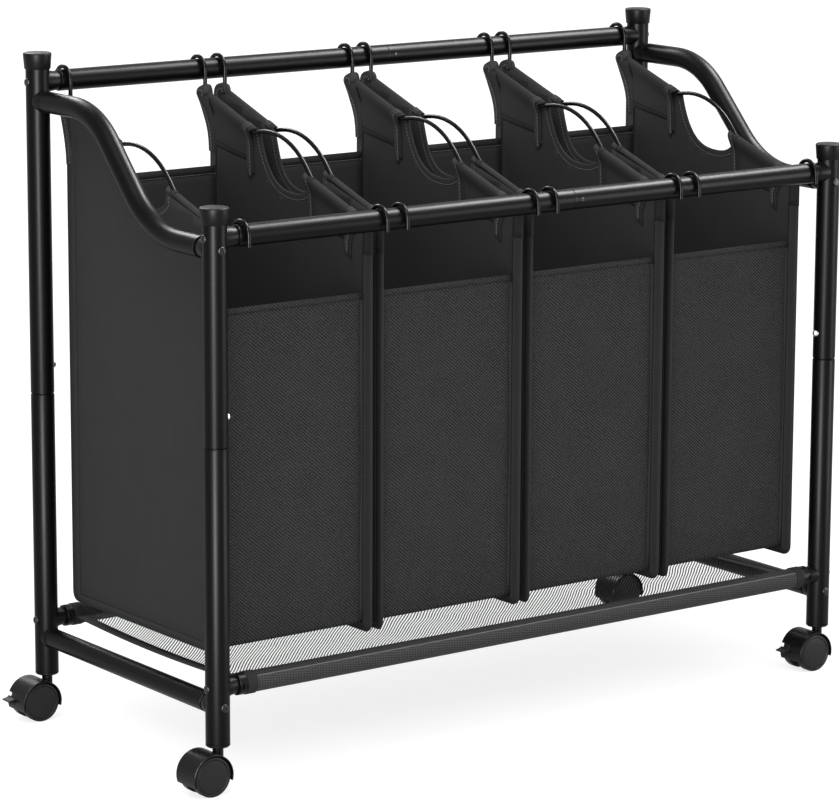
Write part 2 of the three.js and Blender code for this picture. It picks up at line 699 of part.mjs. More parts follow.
/** A plastic insert in the foot of a post, bored for the caster stem. */
function postSocket() {
  const plug = POST_BORE - FIT;
  const bore = STEM_RADIUS + FIT;
  const flangeTop = POST_BOTTOM + SOCKET_FLANGE;
  const top = STEM_TOP - STEM_HEAD_HEIGHT - SEAT;
  return revolve([
    [bore, POST_BOTTOM],
    [POST_RADIUS - SOCKET_CHAMFER, POST_BOTTOM],
    [POST_RADIUS, POST_BOTTOM + SOCKET_CHAMFER],
    [POST_RADIUS, flangeTop],
    [plug, flangeTop],
    [plug, top],
    [bore, top],
    [bore, POST_BOTTOM],
  ], POST_SIDES);
}

/** The steel stem: a pin through the socket, with a grip head above it, and its foot in the housing. */
function casterStem() {
  const neck = STEM_TOP - STEM_HEAD_HEIGHT;
  return revolve([
    [0, STEM_FOOT],
    [STEM_RADIUS, STEM_FOOT],
    [STEM_RADIUS, neck],
    [STEM_HEAD_RADIUS, neck],
    [STEM_HEAD_RADIUS, STEM_TOP],
    [0, STEM_TOP],
  ], SMALL_SIDES);
}

/** A ring sector about the axle, in the XZ plane, as wide as asked. */
function hoodSector(inner, outer, fromDegrees, toDegrees, lowY, highY) {
  const from = THREE.MathUtils.degToRad(fromDegrees);
  const to = THREE.MathUtils.degToRad(toDegrees);
  const count = Math.ceil((toDegrees - fromDegrees) / HOOD_STEP);
  const rim = [];
  for (let i = 0; i <= count; i += 1) {
    const angle = from + ((to - from) * i) / count;
    rim.push([Math.cos(angle), Math.sin(angle)]);
  }
  const outerArc = rim.map(([x, z]) => new THREE.Vector2(outer * x, outer * z));
  const innerArc = rim.map(([x, z]) => new THREE.Vector2(inner * x, inner * z)).reverse();
  const tip = inner > 0 ? innerArc : [new THREE.Vector2(0, 0)];
  return toSolid(acrossAxle([...outerArc, ...tip], lowY, highY));
}

/** The caster housing about its axle: hood, web, swivel boss and pressed-in axle. */
function casterHousing(braked) {
  const half = HOOD_WIDTH / 2;
  const axleEnd = WHEEL_FACE - WHEEL_DISC_WALL - SEAT;
  const bossTop = POST_BOTTOM - SEAT - AXLE_Z;
  let housing = hoodSector(HOOD_BORE, HOOD_RADIUS, HOOD_FRONT_ANGLE, HOOD_REAR_ANGLE, -half, half);
  const webHalf = WEB_WIDTH / 2;
  const webRadius = HOOD_RADIUS - HOOD_WALL / 2;
  const webFrom = HOOD_FRONT_ANGLE + WEB_INSET;
  const webTo = HOOD_REAR_ANGLE - WEB_INSET;
  housing = housing.add(hoodSector(0, webRadius, webFrom, webTo, -webHalf, webHalf));
  housing = housing.add(rod(WEB_AXLE_BOSS, -webHalf, webHalf, SMALL_SIDES, 'y'));
  if (braked) housing = housing.subtract(leverWindow());
  housing = housing.add(rod(AXLE_RADIUS, -axleEnd, axleEnd, SMALL_SIDES, 'y'));
  const bossFoot = SWIVEL_BOSS_FOOT - AXLE_Z;
  const boss = rod(SWIVEL_BOSS_RADIUS, bossFoot, bossTop, SMALL_SIDES);
  housing = housing.add(boss.translate([CASTER_TRAIL, 0, 0]));
  const boreFoot = STEM_FOOT - SEAT - AXLE_Z;
  const bore = rod(STEM_RADIUS + RUNNING, boreFoot, bossTop + CUT_OVERRUN, SMALL_SIDES);
  return housing.subtract(bore.translate([CASTER_TRAIL, 0, 0]));
}

/** The window in the hood that the brake lever moves in, open at the hood's edge. */
function leverWindow() {
  return hoodSector(
    HOOD_BORE - HOOD_WALL,
    HOOD_RADIUS + HOOD_WALL,
    LEVER_HIGH_ANGLE - LEVER_TRAVEL - LEVER_GAP_ANGLE,
    LEVER_LOW_ANGLE + LEVER_GAP_ANGLE,
    WEB_WIDTH / 2,
    HOOD_WIDTH / 2 + CUT_OVERRUN,
  );
}

/** A point at a radius and an angle about the axle, in the XZ plane. */
function aboutAxle(radius, degrees) {
  const angle = THREE.MathUtils.degToRad(degrees);
  return new THREE.Vector2(radius * Math.cos(angle), radius * Math.sin(angle));
}

/** The foot tab of the brake lever: a wedge from the hood's surface out to a thin tip. */
function leverTab(lowY, highY) {
  const root = (HOOD_RADIUS + HOOD_BORE) / 2;
  const tipSpread = THREE.MathUtils.radToDeg(LEVER_TIP_THICKNESS / LEVER_REACH) / 2;
  const outline = [
    aboutAxle(root, LEVER_HIGH_ANGLE + LEVER_TAB_INSET),
    aboutAxle(LEVER_REACH, LEVER_TIP_ANGLE - tipSpread),
    aboutAxle(LEVER_REACH, LEVER_TIP_ANGLE + tipSpread),
    aboutAxle(root, LEVER_LOW_ANGLE - LEVER_TAB_INSET),
  ];
  return toSolid(acrossAxle(outline, lowY, highY));
}

/** A plate with an outline in the XZ plane, from one Y to another. */
function acrossAxle(outline, lowY, highY) {
  const geometry = new THREE.ExtrudeGeometry(new THREE.Shape(outline), {
    depth: highY - lowY,
    bevelEnabled: false,
  });
  // The extrusion runs along Z, and here it has to run along -Y.
  geometry.rotateX(Math.PI / 2);
  geometry.translate(0, highY, 0);
  return geometry;
}

/** The brake lever: a segment of the hood with a foot tab, on an arm that turns about the axle. */
function brakeLever() {
  const from = LEVER_ARM_INNER;
  const to = HOOD_WIDTH / 2;
  const armEnd = from + LEVER_ARM_WALL;
  const middle = (LEVER_HIGH_ANGLE + LEVER_LOW_ANGLE) / 2;
  const armRoot = HOOD_RADIUS - HOOD_WALL / 2;
  const pad = hoodSector(HOOD_BORE, HOOD_RADIUS, LEVER_HIGH_ANGLE, LEVER_LOW_ANGLE, from, to);
  const arm = hoodSector(0, armRoot, middle - LEVER_ARM_ANGLE, middle + LEVER_ARM_ANGLE, from, armEnd);
  const eye = rod(LEVER_EYE_RADIUS, from, armEnd, SMALL_SIDES, 'y');
  const bore = rod(AXLE_RADIUS + RUNNING, from - CUT_OVERRUN, armEnd + CUT_OVERRUN, SMALL_SIDES, 'y');
  return pad.add(leverTab(from, to)).add(arm).add(eye).subtract(bore);
}

/** A cup-shaped caster wheel with a tread, a domed outer disc and a blind hub; side is -1 or 1. */
function casterWheel(side) {
  const disc = WHEEL_FACE - WHEEL_DISC_WALL;
  const bore = AXLE_RADIUS + RUNNING;
  const rimBore = WHEEL_RADIUS - WHEEL_RIM_WALL;
  const profile = [
    [0, WHEEL_FACE],
    [rimBore, WHEEL_FACE - WHEEL_DOME],
    [WHEEL_RADIUS - TREAD_BEVEL, WHEEL_FACE],
    [WHEEL_RADIUS, WHEEL_FACE - TREAD_BEVEL],
    [WHEEL_RADIUS, WHEEL_INNER],
    [rimBore, WHEEL_INNER],
    [rimBore, disc],
    [WHEEL_HUB_RADIUS, disc],
    [WHEEL_HUB_RADIUS, HUB_INNER],
    [bore, HUB_INNER],
    [bore, disc],
    [0, disc],
  ];
  return revolve(profile.map(([radius, y]) => [radius, side * y]), WHEEL_SIDES, 'y');
}

// ---------- assembly ----------

const sorter = new THREE.Group();

/** Adds a piece at a place. */
function place(name, solid, material, x = 0, y = 0, z = 0) {
  const mesh = piece(name, solid, material);
  mesh.position.set(x, y, z);
  sorter.add(mesh);
}

const SIDES = [['left', -1], ['right', 1]];
const ENDS = [
  { end: 'front', y: FRONT_BAR_Y, postTop: FRONT_POST_TOP, barZ: FRONT_BAR_Z },
  { end: 'rear', y: REAR_BAR_Y, postTop: REAR_POST_TOP, barZ: REAR_BAR_Z },
];

function addPosts() {
  const lower = lowerPost();
  const socket = postSocket();
  for (const { end, y, postTop } of ENDS) {
    const upper = upperPost(postTop);
    const cap = postCap(postTop);
    for (const [side, way] of SIDES) {
      const x = way * (POST_PITCH_X / 2);
      place(`upper_post_${end}_${side}`, upper, steel, x, y);
      place(`lower_post_${end}_${side}`, lower, steel, x, y);
      place(`post_cap_${end}_${side}`, cap, capPlastic, x, y);
      place(`post_socket_${end}_${side}`, socket, capPlastic, x, y);
    }
  }
}

function addBars() {
  for (const [side, way] of SIDES) {
    const topHalf = topBarHalf(way, way < 0);
    const bottomHalf = bottomBarHalf(way, way < 0);
    for (const { end, y, barZ } of ENDS) {
      place(`top_bar_${end}_${side}`, topHalf, steel, 0, y, barZ);
      place(`bottom_bar_${end}_${side}`, bottomHalf, steel, 0, y, BOTTOM_BAR_Z);
    }
  }
}

function addSideFrames() {
  const rail = sideRail();
  const cross = crossTube();
  for (const [side, way] of SIDES) {
    const x = way * (POST_PITCH_X / 2);
    place(`side_rail_${side}`, rail, steel, x);
    place(`cross_tube_${side}`, cross, steel, x, 0, CROSS_TUBE_Z);
  }
}

function addBags() {
  const body = bag();
  const wire = bagWire();
  for (let i = 0; i < BAG_COUNT; i += 1) {
    const x = (i - (BAG_COUNT - 1) / 2) * BAG_PITCH;
    place(`bag_${i + 1}`, body, bagCloth, x);
    for (const [side, way] of SIDES) {
      place(`bag_wire_${i + 1}_${side}`, wire, wireSteel, x + way * WIRE_OFFSET);
    }
  }
}

function addCasters() {
  const stem = casterStem();
  const wheels = { front: casterWheel(-1), rear: casterWheel(1) };
  for (const { end, y } of ENDS) {
    for (const [side, way] of SIDES) {
      const x = way * (POST_PITCH_X / 2);
      const axleX = x - CASTER_TRAIL;
      const braked = (end === 'rear') === (side === 'left');
      const corner = `${end}_${side}`;
      place(`caster_stem_${corner}`, stem, stemSteel, x, y);
      place(`caster_housing_${corner}`, casterHousing(braked), casterPlastic, axleX, y, AXLE_Z);
      place(`caster_wheel_${corner}_a`, wheels.front, wheelPlastic, axleX, y, AXLE_Z);
      place(`caster_wheel_${corner}_b`, wheels.rear, wheelPlastic, axleX, y, AXLE_Z);
      if (braked) place(`brake_lever_${corner}`, brakeLever(), wheelPlastic, axleX, y, AXLE_Z);
    }
  }
}

addPosts();
addBars();
addSideFrames();
place('mesh_shelf', meshShelf(), meshCloth);
addBags();
addCasters();

// The origin is on the floor at the centre of the whole footprint, casters included.
const footprint = new THREE.Box3().setFromObject(sorter).getCenter(new THREE.Vector3());
sorter.position.set(-footprint.x, -footprint.y, 0);

export default sorter;
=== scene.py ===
"""Dresses the laundry sorter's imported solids: drawn tube, moulded plastics, sewn bags and a mesh shelf."""
import math

import bmesh
import bpy
from bpy.props import FloatProperty, FloatVectorProperty, PointerProperty
from mathutils import Matrix, Vector


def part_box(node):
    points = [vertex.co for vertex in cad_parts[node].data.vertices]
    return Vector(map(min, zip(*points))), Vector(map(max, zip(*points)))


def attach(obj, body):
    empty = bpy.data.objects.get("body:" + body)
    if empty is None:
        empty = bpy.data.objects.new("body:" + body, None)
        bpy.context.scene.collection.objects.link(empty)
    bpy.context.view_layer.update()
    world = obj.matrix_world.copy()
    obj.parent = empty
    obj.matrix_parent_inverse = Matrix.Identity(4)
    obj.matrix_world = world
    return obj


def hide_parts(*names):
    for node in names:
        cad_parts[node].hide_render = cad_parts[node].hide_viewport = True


bl_info = {
    "name": "Laundry Sorter",
    "version": (1, 0, 0),
    "blender": (4, 5, 0),
    "location": "View3D > Sidebar > Sorter",
    "description": "Builds a laundry sorter on wheels round its packed solids",
    "category": "Object",
}

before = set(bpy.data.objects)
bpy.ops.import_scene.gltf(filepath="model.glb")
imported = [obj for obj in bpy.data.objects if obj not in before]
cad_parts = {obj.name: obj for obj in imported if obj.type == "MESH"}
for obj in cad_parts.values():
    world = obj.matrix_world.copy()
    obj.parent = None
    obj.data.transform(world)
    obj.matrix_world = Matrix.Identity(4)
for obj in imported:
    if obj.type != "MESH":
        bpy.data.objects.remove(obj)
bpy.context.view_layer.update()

MM = 0.001
WHITE = (1, 1, 1, 1)
ENDS = ("front", "rear")
SIDES = ("left", "right")
WAY = {"left": -1, "right": 1, "front": -1, "rear": 1}
CORNERS = [(end, side) for end in ENDS for side in SIDES]
BRAKED = [("front", "right"), ("rear", "left")]
BAGS = range(1, 5)

# ---------- sizes of the parts that the frame's boxes don't give, in millimetres ----------

SEAT = 0.3
SHEET_MERGE = 0.002

POST_RADIUS = 13.9
POST_BORE = 12.7
NECK_LENGTH = 55
SHOULDER_HEIGHT = 2.2
CAP_TOP_RADIUS = 16.6
CAP_FOOT_RADIUS = 15.2
CAP_ROOF = 3
CAP_ROUND = 2.4
SOCKET_FLANGE = 3.2
SOCKET_CHAMFER = 1.2

TUBE_RADIUS = 12.4
TUBE_WALL = 1.2
SADDLE_RADIUS = 11
SADDLE_FLARE = 1.4
SADDLE_SINK = 6.5
BAR_SADDLE = 12.5
RAIL_SADDLE = 10
RAIL_BEND_Y = 60.3
RAIL_SLOPE = math.radians(45.8)
RAIL_REAR_BEND = 104
RAIL_FRONT_BEND = 128
CROSS_RADIUS = 11.7
CROSS_SADDLE = 5
CROSS_SADDLE_RADIUS = 11

BOTTOM_RADIUS = 11
BOTTOM_SADDLE = 9.5
BOTTOM_SADDLE_RADIUS = 10
COLLAR_LENGTH = 10
COLLAR_RADIUS = 12.6
COLLAR_NOTCH_ANGLE = math.radians(13)
COLLAR_NOTCH_DEPTH = 1.5

SLEEVE_RADIUS = 12.3
BINDING_LENGTH = 13
BINDING_RADIUS = 13.3
# Angle round the bottom bar where a light bead sits as a painted highlight; above it the sleeve's yarn is
# painted darker as shade.
SLEEVE_HIGHLIGHT_ANGLE = math.radians(43)
HIGHLIGHT_BEAD_RADIUS = 0.6

WIRE_RADIUS = 2.5
HOOK_GAP = 0.8
HOOK_TAIL = 11.5
HANDLE_REAR_Y = 62
HANDLE_REAR_DROP = 61.7
HANDLE_CORNER_Y = -7.4
HANDLE_CORNER_DROP = 50.6
HANDLE_FRONT_Y = -54.5
HANDLE_FRONT_RISE = 28
REAR_SLOPE = math.radians(18.8)
FRONT_SLOPE = math.radians(18.3)
WIRE_BEND = 6
HANDLE_REAR_BEND = 16
HANDLE_BEND = 104
HANDLE_FRONT_BEND = 12

PANEL_MIDDLE = 96.8
SEAM_FLANGE = 14
FLOOR_LIFT = 10
BAG_SPREAD = 1.3
FLANGE_SPLAY = 1.3
SEAM_CREASE = 2
CREASE_DEPTH = 0.9
PANEL_THICKNESS = 1.6
BAG_REAR_ROOM = 17
BAG_FRONT_ROOM = 22
FRONT_PANEL_DROP = 88
REAR_PANEL_DROP = 112
FOLD_RADIUS = 3.8
EAR_BULGE = 7.4
EAR_ROUND = 6.5
STITCH_PITCH = 4.2
STITCH_LENGTH = 2.7
STITCH_WIDTH = 0.9
STITCH_PROUD = 0.45
SCOOP_REAR = 57
SCOOP_LOW_Y = -9
SCOOP_FRONT = -40
SCOOP_RISE = 8.5
FOLD_OVER = 0.34
FOLD_SETTLE = 20
FOLDS = {
    "rear": {"over": (159.5, 62), "hung": (159.5, 71), "foot": (157.5, 71), "foot_z": (672, 659.5)},
    "front": {"over": (-41.5, -146), "hung": (-41.5, -146), "foot": (-42, -126), "foot_z": (604, 592)},
}
# Strips over each fold as (from, to, reach, finish, lift): each has a tape half and a half in dark tape, and
# that dark half is painted shade on the strip's shadowed side.
STRIPS = {
    "rear": [(0.84, 0.94, 1.21, "tape", 1.0), (0.94, 1.0, 1.15, "dark_tape_and_shade", 0.7)],
    "front": [
        (0.0, 0.075, 1.0, "tape", 1.0), (0.075, 0.145, 1.0, "dark_tape_and_shade", 0.8),
        (0.84, 0.93, 1.2, "tape", 1.0), (0.93, 1.0, 1.24, "dark_tape_and_shade", 0.8),
    ],
}

CASTER_TRAIL = 17.5
HOOD_RADIUS = 26.2
HOOD_WALL = 1.6
HOOD_HALF = 19
HOOD_FRONT_ANGLE = -15
HOOD_REAR_ANGLE = 200
WEB_HALF = 3
WEB_RADIUS = 25.4
WEB_INSET = 3
BOSS_RADIUS = 6.2
BOSS_RISE = 3
AXLE_RADIUS = 3
AXLE_HALF = 14.7
LEVER_HIGH = 168
LEVER_LOW = 186.5
LEVER_TIP = 177.5
LEVER_TRAVEL = 10
LEVER_PROUD = 7.3
WHEEL_FACE = 17.5
WHEEL_INNER = 7.8
WHEEL_RIM = 3.2

ROUND_STEPS = 48
SMALL_STEPS = 20


def middle(node):
    """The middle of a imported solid's box."""
    low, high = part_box(node)
    return (low + high) / 2


MIDDLE_X = (middle("upper_post_front_left").x + middle("upper_post_front_right").x) / 2


def spot(x, y, z):
    """A point given in millimetres from the middle of the frame, on the floor."""
    return Vector((MIDDLE_X + x * MM, y * MM, z * MM))


def height(node, top):
    """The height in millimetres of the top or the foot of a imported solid."""
    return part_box(node)[1 if top else 0].z / MM


POST_X = (middle("upper_post_front_right").x - MIDDLE_X) / MM
POST_Y = middle("upper_post_rear_right").y / MM
REAR_BAR_Z = middle("top_bar_rear_left").z / MM
FRONT_BAR_Z = middle("top_bar_front_left").z / MM
BOTTOM_BAR_Z = middle("bottom_bar_front_left").z / MM
CROSS_Z = middle("cross_tube_left").z / MM
RAIL_REAR_Z = height("side_rail_left", True) - TUBE_RADIUS
RAIL_FRONT_Z = height("side_rail_left", False) + TUBE_RADIUS
BAR_END = POST_X - POST_RADIUS
RAIL_END = POST_Y - POST_RADIUS
AXLE_Z = middle("caster_wheel_front_left_a").z / MM
HOOK_RADIUS = TUBE_RADIUS + WIRE_RADIUS + HOOK_GAP
HANDLE_REAR_Z = REAR_BAR_Z - HANDLE_REAR_DROP
HANDLE_CORNER_Z = REAR_BAR_Z - HANDLE_CORNER_DROP
HANDLE_FRONT_Z = FRONT_BAR_Z + HANDLE_FRONT_RISE
BAG_FOOT = height("bag_1", False)
BAG_FLOOR = BAG_FOOT + FLOOR_LIFT
EAR_TOP = height("bag_1", True)
BAG_REAR = POST_Y - BAG_REAR_ROOM
BAG_FRONT = BAG_FRONT_ROOM - POST_Y
SCOOP_FLOOR = FRONT_BAR_Z + SCOOP_RISE
WRAP_HALF = PANEL_MIDDLE + BAG_SPREAD - 0.6
FRONT_FACE = -BAG_FRONT - SEAM_FLANGE - 6
BAG_MIDDLES = {n: (middle(f"bag_{n}").x - MIDDLE_X) / MM for n in BAGS}


# ---------- shapes ----------


def turned(bm, profile, foot, axis, steps=ROUND_STEPS, closed=False):
    """Turns (radius, height) pairs in millimetres about an axis through foot."""
    axis = Vector(axis)
    side = axis.orthogonal().normalized()
    verts = [bm.verts.new(foot + (axis * rise + side * radius) * MM) for radius, rise in profile]
    edges = [bm.edges.new(pair) for pair in zip(verts, verts[1:])]
    if closed:
        edges.append(bm.edges.new((verts[-1], verts[0])))
    bmesh.ops.spin(
        bm, geom=verts + edges, cent=foot, axis=axis, angle=2 * math.pi, steps=steps, use_merge=True
    )


def new_edges(edges, verts):
    """The edges that have both ends among verts."""
    ends = set(verts)
    return [e for e in edges if isinstance(e, bmesh.types.BMEdge) and set(e.verts) <= ends]


def drawn(bm, corners, radius, sides, open_ends=False, bend_step=6):
    """A round tube through (point, bend radius) corners: straight runs, and bends spun round."""
    spots = [point for point, _ in corners]
    way = (spots[1] - spots[0]).normalized()
    turn = way.to_track_quat("Z", "Y").to_matrix().to_4x4()
    ring = bmesh.ops.create_circle(
        bm,
        cap_ends=not open_ends,
        radius=radius * MM,
        segments=sides,
        matrix=Matrix.Translation(spots[0]) @ turn,
    )["verts"]
    edges = new_edges(bm.edges, ring)
    reached = spots[0]
    for i, (corner, bend) in enumerate(corners[1:], 1):
        last = i == len(corners) - 1
        after = way if last else (spots[i + 1] - corner).normalized()
        angle = way.angle(after)
        run_to = corner if last else corner - way * (bend * MM * math.tan(angle / 2))
        made = bmesh.ops.extrude_edge_only(bm, edges=edges)["geom"]
        ring = [g for g in made if isinstance(g, bmesh.types.BMVert)]
        edges = new_edges(made, ring)
        bmesh.ops.translate(bm, verts=ring, vec=run_to - reached)
        reached = run_to
        if last:
            break
        axis = way.cross(after).normalized()
        centre = run_to + axis.cross(way).normalized() * (bend * MM)
        steps = max(2, math.ceil(math.degrees(angle) / bend_step))
        made = bmesh.ops.spin(
            bm, geom=ring + edges, cent=centre, axis=axis, angle=angle, steps=steps
        )["geom_last"]
        ring = [g for g in made if isinstance(g, bmesh.types.BMVert)]
        edges = new_edges(made, ring)
        reached = centre + Matrix.Rotation(angle, 3, axis) @ (run_to - centre)
        way = after
    if not open_ends:
        bmesh.ops.contextual_create(bm, geom=edges)


def arc(from_point, control, to_point, steps=6):
    """Points along a soft corner between two (y, z) points, the last one left out."""
    points = []
    for i in range(steps):
        t = i / steps
        weights = ((1 - t) ** 2, 2 * t * (1 - t), t * t)
        points.append(
            tuple(
                sum(w * p[k] for w, p in zip(weights, (from_point, control, to_point)))
                for k in (0, 1)
            )
        )
    return points


def swoop(p0, p1, p2, p3, steps=12):
    """Points along a long curve with two (y, z) controls, the last one left out."""
    points = []
    for i in range(steps):
        t = i / steps
        weights = ((1 - t) ** 3, 3 * t * (1 - t) ** 2, 3 * t * t * (1 - t), t**3)
        points.append(tuple(sum(w * p[k] for w, p in zip(weights, (p0, p1, p2, p3))) for k in (0, 1)))
    return points


def chain(bm, points):
    """Joins points in a row with edges."""
    verts = [bm.verts.new(point) for point in points]
    return verts, [bm.edges.new(pair) for pair in zip(verts, verts[1:])]


def sliced(bm, axis, places):
    """Cuts every face at planes across an axis, so that it can bend there."""
    for place in places:
        point = Vector((0, 0, 0))
        point[axis] = place
        normal = Vector((0, 0, 0))
        normal[axis] = 1
        geom = bm.verts[:] + bm.edges[:] + bm.faces[:]
        bmesh.ops.bisect_plane(bm, geom=geom, dist=1e-7, plane_co=point, plane_no=normal)


def spread(low, high, pitch):
    """Even places between two ends, no further apart than pitch, with both ends."""
    count = max(1, math.ceil((high - low) / pitch))
    return [low + (high - low) * i / count for i in range(count + 1)]


def smooth(t):
    """A soft step from 0 to 1."""
    t = min(1.0, max(0.0, t))
    return t * t * (3 - 2 * t)


def between(low, high, share):
    """The value a share of the way from one to another."""
    return low + (high - low) * share


def mapped(bm, columns, rows, placed):
    """A grid whose every point is placed by its share along and across."""
    for vert in bmesh.ops.create_grid(bm, x_segments=columns, y_segments=rows, size=0.5)["verts"]:
        vert.co = placed(vert.co.x + 0.5, vert.co.y + 0.5)


def stitches(bm, points, across, depth):
    """Sews a row of short stitches along points, through cloth whose face looks across."""
    across = Vector(across)
    due = STITCH_PITCH / 2
    for start, end in zip(points, points[1:]):
        run = end - start
        reach = run.length / MM
        way = run.normalized()
        turn = Matrix((way, way.cross(across).normalized(), across)).transposed().to_4x4()
        size = Matrix.Diagonal((STITCH_LENGTH * MM, STITCH_WIDTH * MM, depth * MM, 1))
        while due < reach:
            place = start + run * (due / reach)
            bmesh.ops.create_cube(bm, size=1, matrix=Matrix.Translation(place) @ turn @ size)
            due += STITCH_PITCH
        due -= reach


def made_piece(name, bm, body, finish, stands_for=(), edge_angle=32, closed=True):
    """Turns a bmesh into a finished piece that rides on a body."""
    bmesh.ops.remove_doubles(bm, verts=bm.verts[:], dist=SHEET_MERGE * MM)
    if closed:
        bmesh.ops.recalc_face_normals(bm, faces=bm.faces[:])
    mesh = bpy.data.meshes.new(name)
    bm.to_mesh(mesh)
    bm.free()
    mesh.shade_smooth()
    mesh.set_sharp_from_angle(angle=math.radians(edge_angle))
    piece = bpy.data.objects.new(name, mesh)
    bpy.context.scene.collection.objects.link(piece)
    mesh.materials.append(finish)
    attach(piece, body)
    if stands_for:
        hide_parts(*stands_for)
    return piece


def broken_edges(piece, width, segments=2, angle=40):
    """Rounds the piece's sharp edges."""
    bevel = piece.modifiers.new("Broken edges", "BEVEL")
    bevel.width = width * MM
    bevel.segments = segments
    bevel.limit_method = "ANGLE"
    bevel.angle_limit = math.radians(angle)
    bevel.harden_normals = True
    return bevel


def thick(piece, thickness, offset=0.0):
    """Gives a sheet its thickness."""
    wall = piece.modifiers.new("Cloth thickness", "SOLIDIFY")
    wall.thickness = thickness * MM
    wall.offset = offset
    return wall


# ---------- finishes ----------


class Value:
    """A number that changes over a surface. Sums on it add Math nodes."""

    def __init__(self, finish, socket):
        self.finish = finish
        self.socket = socket

    def maths(self, operation, *terms):
        return self.finish.node("ShaderNodeMath", {"operation": operation}, dict(enumerate(terms)))

    def __add__(self, other):
        return self.maths("ADD", self, other)

    def __radd__(self, other):
        return self.maths("ADD", other, self)

    def __sub__(self, other):
        return self.maths("SUBTRACT", self, other)

    def __rsub__(self, other):
        return self.maths("SUBTRACT", other, self)

    def __mul__(self, other):
        return self.maths("MULTIPLY", self, other)

    def __rmul__(self, other):
        return self.maths("MULTIPLY", other, self)

    def __truediv__(self, other):
        return self.maths("DIVIDE", self, other)

    def __gt__(self, other):
        return self.maths("GREATER_THAN", self, other)

    def __lt__(self, other):
        return self.maths("LESS_THAN", self, other)

    def __abs__(self):
        return self.maths("ABSOLUTE", self)

    def sine(self):
        return self.maths("SINE", self)

    def angle_over(self, run):
        return self.maths("ARCTAN2", self, run)

    def most(self, other):
        return self.maths("MAXIMUM", self, other)


class Nodes:
    """A node tree, and the one way in which nodes are added to it."""

    def __init__(self, tree):
        self.tree = tree

    def own(self, name, output=0):
        """The output of a node that the tree came with."""
        return Value(self, self.tree.nodes[name].outputs[output])

    def node(self, kind, settings=(), inputs=(), output=0):
        """Adds a node: its settings first, then values or links for its sockets."""
        made = self.tree.nodes.new(kind)
        settings = dict(settings)
        stops = settings.pop("stops", None)
        for key, value in settings.items():
            setattr(made, key, value)
        if stops:
            ramp = made.color_ramp.elements
            while len(ramp) < len(stops):
                ramp.new(0.5)
            for element, (place, colour) in zip(ramp, stops):
                element.position = place
                element.color = (*colour, 1)
        for key, value in dict(inputs).items():
            self.join(value, made.inputs[key])
        return Value(self, made.outputs[output])

    def join(self, value, socket):
        """Links a varying value to a socket, or sets a plain one on it."""
        if isinstance(value, Value):
            self.tree.links.new(value.socket, socket)
        else:
            socket.default_value = value


class Finish(Nodes):
    """One material: a Principled shader and the nodes that vary it."""

    def __init__(self, name, **sockets):
        self.material = bpy.data.materials.new(name)
        self.material.use_nodes = True
        super().__init__(self.material.node_tree)
        self.shader = self.tree.nodes["Principled BSDF"]
        for socket, value in sockets.items():
            self.set(socket.replace("_", " "), value)

    def set(self, socket, value):
        """Sets one of the shader's own sockets."""
        if socket.endswith("Color") and not isinstance(value, Value):
            value = (*value[:3], 1)
        self.join(value, self.shader.inputs[socket])

    def place(self):
        """The place on the piece in millimetres, as a vector and as X, Y and Z."""
        point = self.node("ShaderNodeTexCoord", output="Object")
        scaled = self.node(
            "ShaderNodeVectorMath", {"operation": "SCALE"}, {0: point, "Scale": 1 / MM}
        )
        split = self.node("ShaderNodeSeparateXYZ", {}, {0: scaled})
        nodes = split.socket.node.outputs
        return scaled, *(Value(self, nodes[k]) for k in range(3))

    def noise(self, place, size, detail=2.0, roughness=0.5):
        """Cloudy variation from 0 to 1, with features of a size in millimetres."""
        return self.node(
            "ShaderNodeTexNoise",
            {"noise_dimensions": "3D"},
            {"Vector": place, "Scale": 1 / size, "Detail": detail, "Roughness": roughness},
            output=0,
        )

    def tint(self, factor, dark, light):
        """A colour between two others."""
        return self.node(
            "ShaderNodeMix",
            {"data_type": "RGBA"},
            {0: factor, 6: (*dark[:3], 1), 7: (*light[:3], 1)},
            output=2,
        )

    def bump(self, relief, depth, strength=1.0):
        """Relief from 0 to 1, with a depth in millimetres."""
        normal = self.node(
            "ShaderNodeBump", {}, {"Strength": strength, "Distance": depth * MM, "Height": relief}
        )
        self.set("Normal", normal)


def shade_of(colour, share):
    """A darker or lighter share of a colour."""
    return tuple(min(1.0, c * share) for c in colour[:3])


def paint(name, colour, roughness, specular):
    """Satin powder coat on steel: a fine orange peel, and gloss that drifts a little."""
    finish = Finish(name, Specular_IOR_Level=specular, Coat_Weight=0.0)
    place, *_ = finish.place()
    peel = finish.noise(place, 1.6, 3)
    drift = finish.noise(place, 42, 2)
    finish.set("Base Color", finish.tint(drift, shade_of(colour, 0.92), shade_of(colour, 1.08)))
    finish.set("Roughness", drift * 0.08 + (roughness - 0.04))
    finish.bump(peel, 0.02, 0.03)
    return finish.material


def moulded(name, colour, roughness, grain=0.6, depth=0.03, specular=0.5):
    """Moulded plastic with a fine spark grain."""
    finish = Finish(name, Specular_IOR_Level=specular)
    place, *_ = finish.place()
    sparks = finish.noise(place, grain, 4, 0.7)
    drift = finish.noise(place, 18, 2)
    finish.set("Base Color", finish.tint(drift, shade_of(colour, 0.9), shade_of(colour, 1.1)))
    finish.set("Roughness", sparks * 0.14 + (roughness - 0.07))
    finish.bump(sparks, depth, 0.5)
    return finish.material


def plated(name, colour, roughness):
    """Zinc-plated steel with fine drawn marks."""
    finish = Finish(name, Metallic=1.0)
    place, _, _, _ = finish.place()
    marks = finish.noise(place, 0.9, 4, 0.7)
    finish.set("Base Color", finish.tint(marks, shade_of(colour, 0.85), shade_of(colour, 1.1)))
    finish.set("Roughness", marks * 0.2 + (roughness - 0.1))
    finish.bump(marks, 0.02, 0.3)
    return finish.material


